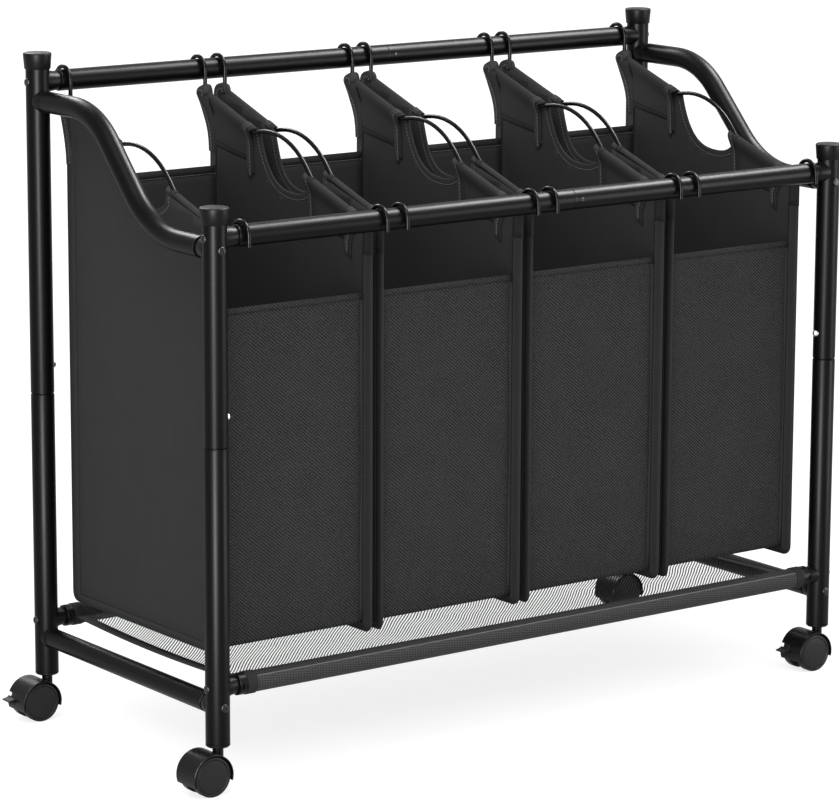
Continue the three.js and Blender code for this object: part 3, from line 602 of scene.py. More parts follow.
def plain_cloth(name, colour, pitch):
    """Smooth coated cloth: a fine plain weave, and a slight mottle."""
    finish = Finish(name, Specular_IOR_Level=0.03)
    place, across, deep, rise = finish.place()
    turn = 2 * math.pi / pitch
    warp = ((across + deep) * turn).sine()
    weft = (rise * turn).sine()
    weave = warp * weft * 0.5 + 0.5
    mottle = finish.noise(place, 26, 3)
    tone = mottle * 0.6 + weave * 0.4
    finish.set("Base Color", finish.tint(tone, shade_of(colour, 0.86), shade_of(colour, 1.14)))
    finish.set("Roughness", weave * 0.1 + 0.8)
    finish.bump(weave, 0.12, 0.35)
    return finish.material


def twill_cloth(name, colour, fleck, pitch):
    """Coarse two-tone cloth: dark and light yarns that cross on a slant and show as a fine fleck."""
    finish = Finish(name, Specular_IOR_Level=0.03)
    place, across, deep, rise = finish.place()
    turn = 2 * math.pi / pitch
    slub = finish.noise(place, 5.5, 2)
    salt = finish.noise(place, 1.5, 2, 0.6)
    down = deep + rise
    one = (across * turn + slub * 0.9).sine()
    other = (down * (turn * 1.25) + slub * 0.9).sine()
    weave = one * other * 0.5 + 0.5
    mottle = finish.noise(place, 34, 2)
    shown = weave + (salt - 0.5) * 0.9 + (mottle - 0.5) * 0.15 > 0.5
    outer = (0 - deep) > FRONT_FACE
    finish.set("Base Color", finish.tint(shown * outer + (1 - outer) * 0.62, colour, fleck))
    finish.set("Roughness", weave * 0.1 + 0.82)
    finish.bump(weave, 0.3, 0.5)
    return finish.material


def tape_cloth(name, colour, pitch):
    """Woven binding tape: fine ribs across its run."""
    finish = Finish(name, Specular_IOR_Level=0.04)
    place, across, deep, rise = finish.place()
    turn = 2 * math.pi / pitch
    ribs = ((across + deep * 1.31 + rise * 0.87) * turn).sine() * 0.5 + 0.5
    fuzz = finish.noise(place, 1.1, 3)
    tone = ribs * 0.6 + fuzz * 0.4
    finish.set("Base Color", finish.tint(tone, shade_of(colour, 0.72), shade_of(colour, 1.3)))
    finish.set("Roughness", fuzz * 0.15 + 0.75)
    finish.bump(ribs, 0.15, 0.5)
    return finish.material


def knit_mesh(name, colour, pitch, openness):
    """Knitted mesh: heavy yarns on one slant and fine ones on the other, with open holes between them."""
    finish = Finish(name, Specular_IOR_Level=0.1, Roughness=0.8)
    place, across, deep, _ = finish.place()
    wander = finish.noise(place, 110, 1)
    turn = 2 * math.pi / pitch
    slant = (((across - deep) * 0.707 + wander * 14) * turn).sine()
    counter = (((across + deep) * 0.707 + wander * 6) * turn).sine()
    heavy = slant > math.sin(math.pi * (openness - 0.5))
    fine = counter > math.sin(math.pi * 0.37)
    solid = heavy.most(fine)
    finish.set("Base Color", finish.tint(slant * 0.5 + 0.5, shade_of(colour, 0.7), shade_of(colour, 1.25)))
    finish.set("Alpha", solid)
    return finish.material


def knit_sleeve(name, colour, gap_colour, pitch):
    """The same mesh drawn round a dark bar: small dark holes in slanted rows, and painted shade on its top.
    """
    finish = Finish(name, Specular_IOR_Level=0.1)
    place, across, deep, rise = finish.place()
    angle = (rise - BOTTOM_BAR_Z).angle_over(abs(deep) - POST_Y)
    around = angle * SLEEVE_RADIUS
    turn = 2 * math.pi / pitch
    fuzz = finish.noise(place, 2.6, 2)
    slant = ((across * 0.86 + around) * turn + fuzz).sine()
    counter = ((across * 0.62 - around) * turn + fuzz).sine()
    web = slant * counter * 0.5 + 0.5
    yarn = web > 0.36
    # Above the highlight angle the yarn is painted three quarters of the way to the dark gap colour: painted
    # shade under the bags.
    shaded_top = angle > SLEEVE_HIGHLIGHT_ANGLE
    finish.set("Base Color", finish.tint(yarn * (1 - shaded_top * 0.75), gap_colour, colour))
    finish.set("Roughness", fuzz * 0.2 + 0.65)
    finish.bump(web, 0.5, 0.7)
    return finish.material


def sewing_thread(name, colour, pitch):
    """Twisted thread."""
    finish = Finish(name, Specular_IOR_Level=0.1)
    _, across, deep, rise = finish.place()
    twist = ((across + deep + rise) * (2 * math.pi / pitch)).sine() * 0.5 + 0.5
    finish.set("Base Color", finish.tint(twist, shade_of(colour, 0.8), shade_of(colour, 1.2)))
    finish.set("Roughness", twist * 0.1 + 0.55)
    return finish.material


FINISHES = {}


def finish_of(kind):
    """A finish by its kind, made once from the scene's colours."""
    if kind not in FINISHES:
        colours = bpy.context.scene.sorter_colours
        sizes = bpy.context.scene.sorter_sizes
        FINISHES[kind] = {
            "tube": lambda: paint("satin_powder_coat", colours.tube, colours.tube_roughness, 0.06),
            "wire": lambda: paint("coated_wire", colours.wire, 0.3, 0.07),
            "cap": lambda: moulded("cap_plastic", colours.cap, 0.42, specular=0.07),
            "connector": lambda: moulded("connector_plastic", colours.cap, 0.36, specular=0.06),
            "hood": lambda: moulded("hood_plastic", colours.caster, 0.34, 0.5, 0.015, 0.08),
            "wheel": lambda: moulded("wheel_plastic", colours.wheel, 0.42, specular=0.06),
            "steel": lambda: plated("plated_steel", colours.steel, 0.35),
            "screw": lambda: moulded("blackened_screw", colours.screw, 0.34, 0.5, 0.01, 0.2),
            "cloth": lambda: plain_cloth("smooth_bag_cloth", colours.cloth, sizes.fine_weave * 1000),
            "twill": lambda: twill_cloth(
                "twill_bag_cloth", colours.twill, colours.fleck, sizes.twill_pitch * 1000
            ),
            "tape": lambda: tape_cloth("binding_tape", colours.tape, 0.9),
            # Dark binding tape, also used as painted shade on the shadowed half of the fold strips.
            "dark_tape_and_shade": lambda: tape_cloth("dark_binding_tape_and_shade", colours.dark_tape_and_shade, 0.9),
            "mesh": lambda: knit_mesh(
                "knit_mesh", colours.mesh, sizes.mesh_pitch * 1000, sizes.mesh_openness
            ),
            "mesh_sleeve": lambda: knit_sleeve("knit_sleeve", colours.sleeve, colours.gap, 5.6),
            "thread": lambda: sewing_thread("sewing_thread", colours.thread, 0.8),
            # Dark sewing thread, also used for the painted shadow line in the bags' rear corners.
            "dark_thread_and_shade": lambda: sewing_thread("dark_sewing_thread_and_shade", colours.gap, 0.8),
        }[kind]()
    return FINISHES[kind]


# ---------- posts, bars and side frames ----------


def post_pieces(end, side):
    """One post: lower and upper tube, cap, and the socket in its foot."""
    corner = f"{end}_{side}"
    foot = spot(WAY[side] * POST_X, WAY[end] * POST_Y, 0)
    up = (0, 0, 1)

    upper = f"upper_post_{corner}"
    low, top = height(upper, False), height(upper, True)
    bm = bmesh.new()
    edge = TUBE_WALL / 2
    turned(
        bm,
        [
            (POST_BORE, low), (POST_RADIUS - edge, low), (POST_RADIUS, low + edge),
            (POST_RADIUS, top), (POST_BORE, top),
        ],
        foot, up, closed=True,
    )
    made_piece(f"tube_{upper}", bm, "frame", finish_of("tube"), [upper])

    lower = f"lower_post_{corner}"
    low, top = height(lower, False), height(lower, True)
    seam = top - NECK_LENGTH
    neck = POST_BORE - 0.2
    bm = bmesh.new()
    turned(
        bm,
        [
            (POST_BORE, low), (POST_RADIUS - 0.4, low), (POST_RADIUS, low + 0.4),
            (POST_RADIUS, seam - SHOULDER_HEIGHT), (POST_RADIUS - 0.5, seam - SHOULDER_HEIGHT + 0.9),
            (neck, seam), (neck, top), (neck - TUBE_WALL, top),
            (neck - TUBE_WALL, seam), (POST_BORE - 0.2, seam - SHOULDER_HEIGHT),
        ],
        foot, up, closed=True,
    )
    made_piece(f"tube_{lower}", bm, "frame", finish_of("tube"), [lower])

    cap = f"post_cap_{corner}"
    low, top = height(cap, False), height(cap, True)
    roof = top - CAP_ROOF
    taper = (CAP_TOP_RADIUS - CAP_FOOT_RADIUS) / (top - CAP_ROUND - low)
    bore = POST_RADIUS + 0.2
    flat = CAP_TOP_RADIUS - CAP_ROUND
    rounding = arc((CAP_TOP_RADIUS, top - CAP_ROUND), (CAP_TOP_RADIUS, top), (flat, top))
    bm = bmesh.new()
    turned(
        bm,
        [
            (0, roof), (bore, roof), (bore, low),
            (CAP_FOOT_RADIUS - 0.3, low), (CAP_FOOT_RADIUS, low + 0.3 + taper),
        ]
        + rounding
        + [(flat, top), (CAP_TOP_RADIUS - 5, top + 0.15), (0, top + 0.25)],
        foot, up,
    )
    made_piece(f"moulded_{cap}", bm, "frame", finish_of("cap"), [cap], 40)

    socket = f"post_socket_{corner}"
    low, top = height(socket, False), height(socket, True)
    plug = POST_BORE - 0.2
    bm = bmesh.new()
    turned(
        bm,
        [
            (4.2, low), (POST_RADIUS - SOCKET_CHAMFER, low), (POST_RADIUS, low + SOCKET_CHAMFER),
            (POST_RADIUS, low + SOCKET_FLANGE), (plug, low + SOCKET_FLANGE), (plug, top), (4.2, top),
        ],
        foot, up, closed=True,
    )
    made_piece(f"moulded_{socket}", bm, "frame", finish_of("cap"), [socket])


def screw_head(bm, place, way, radius, rise):
    """A button head with a hexagon socket, lofted from the socket's floor out to the rim."""
    turn = Matrix.Translation(place) @ Vector(way).to_track_quat("Z", "Y").to_matrix().to_4x4()
    rings = []
    socket = radius * 0.5
    for size, lift in ((socket, rise * 0.25), (socket, rise * 0.97)):
        made = bmesh.ops.create_circle(
            bm, radius=size * MM, segments=6, matrix=turn @ Matrix.Translation((0, 0, lift * MM))
        )["verts"]
        edges = new_edges(bm.edges, made)
        split = bmesh.ops.subdivide_edges(bm, edges=edges, cuts=3)["geom_inner"]
        ring = made + [g for g in split if isinstance(g, bmesh.types.BMVert)]
        rings.append(new_edges(bm.edges, ring))
    for size, lift in ((0.58, 1.0), (0.78, 0.93), (0.93, 0.68), (1.0, 0.3), (1.0, -0.4)):
        made = bmesh.ops.create_circle(
            bm,
            radius=radius * size * MM,
            segments=24,
            matrix=turn @ Matrix.Translation((0, 0, rise * lift * MM)),
        )["verts"]
        rings.append(new_edges(bm.edges, made))
    for inner, outer in zip(rings, rings[1:]):
        bmesh.ops.bridge_loops(bm, edges=inner + outer)
    bmesh.ops.contextual_create(bm, geom=rings[0])
    bmesh.ops.contextual_create(bm, geom=rings[-1])


def post_screws(end, side):
    """The button-head screws that hold the bars, the rail and the cross tube to one post."""
    sizes = bpy.context.scene.sorter_sizes
    radius = sizes.screw_head * 1000 / 2
    rise = radius * 0.42
    x, y = WAY[side] * POST_X, WAY[end] * POST_Y
    rail_z = RAIL_REAR_Z if end == "rear" else RAIL_FRONT_Z
    bar_z = REAR_BAR_Z if end == "rear" else FRONT_BAR_Z
    outward, along = Vector((WAY[side], 0, 0)), Vector((0, WAY[end], 0))
    bm = bmesh.new()
    for z in (bar_z, BOTTOM_BAR_Z):
        screw_head(bm, spot(x + WAY[side] * POST_RADIUS, y, z), outward, radius, rise)
    for z in (rail_z, CROSS_Z):
        screw_head(bm, spot(x, y + WAY[end] * POST_RADIUS, z), along, radius, rise)
    made_piece(f"screws_{end}_{side}", bm, "frame", finish_of("screw"), edge_angle=40)

    seam = height(f"lower_post_{end}_{side}", True) - NECK_LENGTH
    face = spot(x - WAY[side] * POST_RADIUS, y, seam + 32)
    button = [(0, 4.4), (1.6, 4.2), (3.0, 3.4), (3.8, 2.2), (4.1, 0.8), (4.1, -1.2), (0, -1.2)]
    bm = bmesh.new()
    turned(bm, button, face, -outward, SMALL_STEPS)
    made_piece(f"joint_button_{end}_{side}", bm, "frame", finish_of("steel"))


def saddle_piece(name, centre, axis, rim, end, radius):
    """The plug at a tube's end: a step in from the rim, and a flared run into the post it is coped to."""
    bm = bmesh.new()
    turned(
        bm,
        [
            (0, rim - 3), (radius - 0.6, rim - 3), (radius - 0.6, rim + 0.5), (radius - 0.2, rim + 0.6),
            (radius, rim + 1), (radius + SADDLE_FLARE * 0.3, between(rim, end, 0.5)),
            (radius + SADDLE_FLARE, end), (radius + SADDLE_FLARE, end + SADDLE_SINK), (0, end + SADDLE_SINK),
        ],
        centre, axis,
    )
    return made_piece(name, bm, "frame", finish_of("connector"))


def top_bar_pieces(end, side):
    """Half of a top bar: the tube with its rim, and the saddle that meets the post."""
    node = f"top_bar_{end}_{side}"
    way = WAY[side]
    centre = spot(0, WAY[end] * POST_Y, REAR_BAR_Z if end == "rear" else FRONT_BAR_Z)
    joint = bpy.context.scene.sorter_sizes.bar_joint * 1000
    start = way * joint + SEAT / 2
    rim = BAR_END - BAR_SADDLE
    bore = TUBE_RADIUS - TUBE_WALL
    bm = bmesh.new()
    turned(
        bm,
        [
            (bore, start), (TUBE_RADIUS - 0.4, start), (TUBE_RADIUS, start + 0.4),
            (TUBE_RADIUS, rim - 0.4), (TUBE_RADIUS - 0.4, rim), (bore, rim),
        ],
        centre, (way, 0, 0), closed=True,
    )
    made_piece(f"tube_{node}", bm, "frame", finish_of("tube"), [node])
    saddle_piece(f"saddle_{node}", centre, (way, 0, 0), rim, BAR_END, SADDLE_RADIUS)


def joint_pieces(end):
    """What shows at a top bar's joint: the swaged neck in the gap, and the spring button."""
    joint = bpy.context.scene.sorter_sizes.bar_joint * 1000
    centre = spot(0, WAY[end] * POST_Y, REAR_BAR_Z if end == "rear" else FRONT_BAR_Z)
    neck = TUBE_RADIUS - 0.7
    bm = bmesh.new()
    turned(bm, [(0, joint - 6), (neck, joint - 6), (neck, joint + 6), (0, joint + 6)], centre, (1, 0, 0))
    made_piece(f"bar_neck_{end}", bm, "frame", finish_of("connector"))
    bm = bmesh.new()
    face = centre + Vector((joint + 9, -TUBE_RADIUS + 0.4, 0)) * MM
    dome = [(0, 1.9), (1.3, 1.7), (2.2, 1.1), (2.6, 0.3), (2.6, -1), (0, -1)]
    turned(bm, dome, face, (0, -1, 0), SMALL_STEPS)
    made_piece(f"spring_button_{end}", bm, "frame", finish_of("screw"))


def bottom_bar_pieces(end, side):
    """Half of a bottom bar: the tube inside the shelf's sleeve, its notched collar and its saddle."""
    node = f"bottom_bar_{end}_{side}"
    way = WAY[side]
    centre = spot(0, WAY[end] * POST_Y, BOTTOM_BAR_Z)
    outer = BAR_END - BOTTOM_SADDLE
    inner = outer - COLLAR_LENGTH
    bm = bmesh.new()
    turned(
        bm,
        [(0, SEAT / 2), (BOTTOM_RADIUS, SEAT / 2), (BOTTOM_RADIUS, inner + 1), (0, inner + 1)],
        centre, (way, 0, 0),
    )
    made_piece(f"tube_{node}", bm, "frame", finish_of("tube"), [node])
    bm = bmesh.new()
    turned(
        bm,
        [
            (0, inner), (COLLAR_RADIUS - 0.5, inner), (COLLAR_RADIUS, inner + 0.5),
            (COLLAR_RADIUS, (inner + outer) / 2), (COLLAR_RADIUS, outer - 0.5),
            (COLLAR_RADIUS - 0.5, outer), (0, outer),
        ],
        centre, (way, 0, 0),
    )
    bmesh.ops.remove_doubles(bm, verts=bm.verts[:], dist=SHEET_MERGE * MM)
    notched = [f for f in bm.faces if in_notch(f, centre, way, (inner + outer) / 2, outer)]
    bmesh.ops.recalc_face_normals(bm, faces=bm.faces[:])
    bmesh.ops.inset_region(bm, faces=notched, thickness=0.25 * MM, depth=-COLLAR_NOTCH_DEPTH * MM)
    made_piece(f"collar_{node}", bm, "frame", finish_of("connector"))
    saddle_piece(f"saddle_{node}", centre, (way, 0, 0), outer, BAR_END, BOTTOM_SADDLE_RADIUS)


def in_notch(face, centre, way, low, high):
    """Whether a collar's face lies in one of its four notches."""
    off = (face.calc_center_median() - centre) / MM
    along = off.x * way
    if not low < along < high - 0.5 or math.hypot(off.y, off.z) < COLLAR_RADIUS - 0.3:
        return False
    angle = math.atan2(off.z, off.y) % (math.pi / 2)
    return min(angle, math.pi / 2 - angle) < COLLAR_NOTCH_ANGLE


def side_rail_pieces(side):
    """An S-bent side rail and its two saddles."""
    node = f"side_rail_{side}"
    x = WAY[side] * POST_X
    rim = RAIL_END - RAIL_SADDLE
    run = (RAIL_REAR_Z - RAIL_FRONT_Z) / math.tan(RAIL_SLOPE)
    bm = bmesh.new()
    drawn(
        bm,
        [
            (spot(x, rim, RAIL_REAR_Z), 0),
            (spot(x, RAIL_BEND_Y, RAIL_REAR_Z), RAIL_REAR_BEND),
            (spot(x, RAIL_BEND_Y - run, RAIL_FRONT_Z), RAIL_FRONT_BEND),
            (spot(x, -rim, RAIL_FRONT_Z), 0),
        ],
        TUBE_RADIUS, ROUND_STEPS, bend_step=4,
    )
    piece = made_piece(f"tube_{node}", bm, "frame", finish_of("tube"), [node])
    broken_edges(piece, 0.4)
    for end, z in (("rear", RAIL_REAR_Z), ("front", RAIL_FRONT_Z)):
        saddle_piece(f"saddle_{node}_{end}", spot(x, 0, z), (0, WAY[end], 0), rim, RAIL_END, SADDLE_RADIUS)


def cross_tube_pieces(side):
    """The straight tube low down between two posts, and its saddles."""
    node = f"cross_tube_{side}"
    centre = spot(WAY[side] * POST_X, 0, CROSS_Z)
    rim = RAIL_END - CROSS_SADDLE
    edge = CROSS_RADIUS - 0.4
    bm = bmesh.new()
    turned(
        bm,
        [
            (0, -rim), (edge, -rim), (CROSS_RADIUS, -rim + 0.4),
            (CROSS_RADIUS, rim - 0.4), (edge, rim), (0, rim),
        ],
        centre, (0, 1, 0),
    )
    made_piece(f"tube_{node}", bm, "frame", finish_of("tube"), [node])
    for end in ENDS:
        saddle_piece(f"saddle_{node}_{end}", centre, (0, WAY[end], 0), rim, RAIL_END, CROSS_SADDLE_RADIUS)


# ---------- mesh shelf ----------


def shelf_pieces():
    """The shelf cloth: an open mesh sheet that sags, its sleeves round the bottom bars, its bindings, and a
    light bead along each sleeve that is a painted highlight.
    """
    sizes = bpy.context.scene.sorter_sizes
    end_x = BAR_END - BOTTOM_SADDLE - COLLAR_LENGTH - SEAT
    mesh_x = end_x - BINDING_LENGTH
    reach = POST_Y - SLEEVE_RADIUS + 1
    sag = sizes.shelf_sag * 1000

    def sagging(x, y):
        return -sag * (1 - (y / reach) ** 2) * (0.7 + 0.3 * abs(x / mesh_x) ** 2)

    def sheet_between(from_x, to_x, pitch):
        bm = bmesh.new()
        _, edges = chain(bm, [spot(from_x, y, BOTTOM_BAR_Z) for y in spread(-reach, reach, 12)])
        for low, high in zip(spread(from_x, to_x, pitch), spread(from_x, to_x, pitch)[1:]):
            made = bmesh.ops.extrude_edge_only(bm, edges=edges)["geom"]
            ring = [g for g in made if isinstance(g, bmesh.types.BMVert)]
            edges = new_edges(made, ring)
            bmesh.ops.translate(bm, verts=ring, vec=Vector((high - low, 0, 0)) * MM)
        for vert in bm.verts:
            vert.co.z += sagging((vert.co.x - MIDDLE_X) / MM, vert.co.y / MM) * MM
        return bm

    sheet = made_piece(
        "shelf_mesh", sheet_between(-mesh_x, mesh_x, 30), "frame",
        finish_of("mesh"), ["mesh_shelf"],
    )
    2 * mesh_x * MM
    for side in SIDES:
        low, high = sorted((WAY[side] * mesh_x, WAY[side] * end_x))
        strip = made_piece(
            f"shelf_binding_{side}", sheet_between(low, high, 7), "frame", finish_of("tape")
        )
        thick(strip, 1.6)
    for end in ENDS:
        centre = spot(0, WAY[end] * POST_Y, BOTTOM_BAR_Z)
        bm = bmesh.new()
        outer, inner = SLEEVE_RADIUS, BOTTOM_RADIUS + 0.1
        wall = [(inner, -mesh_x), (outer, -mesh_x), (outer, mesh_x), (inner, mesh_x)]
        turned(bm, wall, centre, (1, 0, 0), closed=True)
        made_piece(f"shelf_sleeve_{end}", bm, "frame", finish_of("mesh_sleeve"), edge_angle=60)
        for side in SIDES:
            band_x = WAY[side] * mesh_x
            bm = bmesh.new()
            turned(
                bm,
                [
                    (inner, 0), (BINDING_RADIUS - 0.7, 0), (BINDING_RADIUS, 0.8),
                    (BINDING_RADIUS, BINDING_LENGTH - 0.8),
                    (BINDING_RADIUS - 0.7, BINDING_LENGTH), (inner, BINDING_LENGTH),
                ],
                centre + Vector((band_x * MM, 0, 0)), (WAY[side], 0, 0), closed=True,
            )
            made_piece(f"sleeve_binding_{end}_{side}", bm, "frame", finish_of("dark_tape_and_shade"))
        # A thin light thread bead along each sleeve: a painted highlight where the bar's reflection shows
        # through the mesh.
        bm = bmesh.new()
        bead_y = WAY[end] * (POST_Y + SLEEVE_RADIUS * math.cos(SLEEVE_HIGHLIGHT_ANGLE))
        bead_z = BOTTOM_BAR_Z + SLEEVE_RADIUS * math.sin(SLEEVE_HIGHLIGHT_ANGLE)
        drawn(bm, [(spot(x, bead_y, bead_z), 0) for x in (-mesh_x, mesh_x)], HIGHLIGHT_BEAD_RADIUS, 8)
        made_piece(f"sleeve_highlight_bead_{end}", bm, "frame", finish_of("thread"))


# ---------- bags ----------


def wire_corners():
    """The corners of a bag wire in Y and Z, each with its bend radius, from rear hook to front hook."""
    rear_stem = POST_Y - HOOK_RADIUS
    rear_top = REAR_BAR_Z + HOOK_RADIUS
    front_top = FRONT_BAR_Z + HOOK_RADIUS
    rear_foot = HANDLE_REAR_Z + (rear_stem - HANDLE_REAR_Y) * math.tan(REAR_SLOPE)
    front_foot = HANDLE_FRONT_Z - (HANDLE_FRONT_Y + rear_stem) * math.tan(FRONT_SLOPE)
    return [
        (POST_Y + HOOK_RADIUS, REAR_BAR_Z - HOOK_TAIL, 0),
        (POST_Y + HOOK_RADIUS, rear_top, HOOK_RADIUS),
        (rear_stem, rear_top, HOOK_RADIUS),
        (rear_stem, rear_foot, WIRE_BEND),
        (HANDLE_REAR_Y, HANDLE_REAR_Z, HANDLE_REAR_BEND),
        (HANDLE_CORNER_Y, HANDLE_CORNER_Z, HANDLE_BEND),
        (HANDLE_FRONT_Y, HANDLE_FRONT_Z, HANDLE_FRONT_BEND),
        (-rear_stem, front_foot, WIRE_BEND),
        (-rear_stem, front_top, HOOK_RADIUS),
        (-POST_Y - HOOK_RADIUS, front_top, HOOK_RADIUS),
        (-POST_Y - HOOK_RADIUS, FRONT_BAR_Z - HOOK_TAIL, 0),
    ]


def rear_wire_z(y):
    """The middle of the wire's rear run at a given Y."""
    return HANDLE_REAR_Z + (y - HANDLE_REAR_Y) * math.tan(REAR_SLOPE)


def front_wire_z(y):
    """The middle of the wire's front run at a given Y."""
    return HANDLE_FRONT_Z + (y - HANDLE_FRONT_Y) * math.tan(FRONT_SLOPE)


def scoop_edge():
    """The handle scoop's edge in Y and Z, from the rear fold down and up to the front fold."""
    top = (SCOOP_REAR, rear_wire_z(SCOOP_REAR) + 2)
    low = (SCOOP_LOW_Y, SCOOP_FLOOR)
    front = (SCOOP_FRONT, SCOOP_FLOOR + 9)
    crown = (SCOOP_FRONT - 1.5, front_wire_z(SCOOP_FRONT) - 4)
    return (
        swoop(top, (SCOOP_REAR - 12, SCOOP_FLOOR + 20), (SCOOP_LOW_Y + 40, SCOOP_FLOOR), low)
        + swoop(low, (SCOOP_LOW_Y - 14, SCOOP_FLOOR), (SCOOP_FRONT + 8, SCOOP_FLOOR + 2.5), front, 8)
        + [front, crown]
    )


def ear_edge():
    """The rear ear's edge: it flares from the neck, rounds over and comes down to the fold."""
    stem = POST_Y - HOOK_RADIUS
    neck = (BAG_REAR, EAR_TOP - 74)
    flare = (stem + 16, EAR_TOP - 8)
    crown = (stem - 2, EAR_TOP + 5.5)
    fold = (stem - 9, rear_wire_z(stem - 9) + 1)
    return (
        swoop(neck, (BAG_REAR + 0.5, EAR_TOP - 38), (stem + 15, EAR_TOP - 26), flare, 8)
        + swoop(flare, (stem + 16.5, EAR_TOP + 3), (stem + 4, EAR_TOP + 6), crown, 7)
        + swoop(crown, (stem - 6.5, EAR_TOP + 5), (stem - 7.5, EAR_TOP + 1), fold, 4)
        + [fold]
    )


def front_ear_edge():
    """The front ear's corner, from the fold down to the flange."""
    top = front_wire_z(BAG_FRONT) + 1
    return arc((BAG_FRONT + 7, front_wire_z(BAG_FRONT + 7) + 1), (BAG_FRONT, top), (BAG_FRONT, top - 7)) + [
        (BAG_FRONT, top - 7)
    ]


def foot_edge():
    """The flange's edge down the front, along the bottom and up the rear."""
    foot, flange = BAG_FOOT, SEAM_FLANGE
    return (
        arc((BAG_FRONT, foot + flange), (BAG_FRONT, foot), (BAG_FRONT + flange, foot))
        + arc((BAG_REAR - flange, foot), (BAG_REAR, foot), (BAG_REAR, foot + flange))
        + [(BAG_REAR, foot + flange)]
    )


def panel_outline():
    """The side panel's whole outline in Y and Z."""
    return foot_edge() + ear_edge() + scoop_edge() + front_ear_edge()


def outline_area(outline):
    """The area inside an outline, in square metres."""
    turns = zip(outline, outline[1:] + outline[:1])
    return abs(sum(a[0] * b[1] - b[0] * a[1] for a, b in turns)) / 2 * MM * MM


def wire_line(y):
    """The height of a bag's top line at a given Y: along its wire, and straight across the handle."""
    if y > HANDLE_REAR_Y:
        return rear_wire_z(y)
    if y < HANDLE_FRONT_Y:
        return front_wire_z(y)
    share = (y - HANDLE_FRONT_Y) / (HANDLE_REAR_Y - HANDLE_FRONT_Y)
    return between(HANDLE_FRONT_Z, HANDLE_REAR_Z, share)


def panel_swell(y, z):
    """How far a side panel stands out from its wire: its drape, belly, splayed flange and seam."""
    rear, front, foot = BAG_REAR - SEAM_FLANGE, BAG_FRONT + SEAM_FLANGE, BAG_FLOOR
    inset = min(rear - y, y - front, z - foot)
    free = smooth((wire_line(y) - z - 6) / 46)
    drape = BAG_SPREAD * max(free, smooth((front + 10 - y) / 10))
    splay = FLANGE_SPLAY * max(smooth((front - y) / SEAM_FLANGE), free * smooth((y - rear) / SEAM_FLANGE))
    belly = math.sin(math.pi * min(1, max(0, (z - foot) / (EAR_TOP - 60 - foot))) ** 0.8)
    width = smooth((y - front) / 90) * smooth((rear - y) / 90) * smooth(inset / 60)
    swell = bpy.context.scene.sorter_sizes.bag_swell * 1000 * belly * width * free
    crease = CREASE_DEPTH * (1 - smooth(abs(inset) / SEAM_CREASE)) * free
    return drape + splay + swell - crease


def panel_x(n, side):
    """The X of a side panel at its wire, from the middle of the frame."""
    return BAG_MIDDLES[n] + WAY[side] * PANEL_MIDDLE


def panel_spot(n, side, y, z, inside=0.0):
    """A point on a side panel, or a little inside it."""
    return spot(panel_x(n, side) + WAY[side] * (panel_swell(y, z) - inside), y, z)


def side_panel(n, side):
    """One side of a bag: a shaped sheet with a flat seam flange and a soft belly."""
    bm = bmesh.new()
    verts, edges = chain(bm, [spot(0, y, z) for y, z in panel_outline()])
    edges.append(bm.edges.new((verts[-1], verts[0])))
    bmesh.ops.contextual_create(bm, geom=edges)
    rear, front = BAG_REAR - SEAM_FLANGE, BAG_FRONT + SEAM_FLANGE
    creases = [s * SEAM_CREASE for s in (-1, -0.5, 0, 0.5, 1)]
    across = [front + c for c in creases] + [rear + c for c in creases]
    across += spread(front + SEAM_CREASE, rear - SEAM_CREASE, 13)[1:-1] + [BAG_FRONT + 5, BAG_FRONT + 9]
    up = [BAG_FLOOR + c for c in creases] + spread(BAG_FLOOR + SEAM_CREASE, EAR_TOP - 4, 14)[1:]
    sliced(bm, 1, [y * MM for y in across])
    sliced(bm, 2, [z * MM for z in up])
    for vert in bm.verts:
        vert.co = panel_spot(n, side, vert.co.y / MM, vert.co.z / MM)
    piece = made_piece(
        f"bag_{n}_side_{side}", bm, f"hanging_bag_{n}", finish_of("cloth"), edge_angle=60
    )
    thick(piece, PANEL_THICKNESS)
    return piece


def bag_side(n, side):
    """A side panel with everything that is sewn to it."""
    piece = side_panel(n, side)
    sewn = bag_folds(n, side) + ear_pieces(n, side) + bag_trims(n, side)
    outline_area(panel_outline())


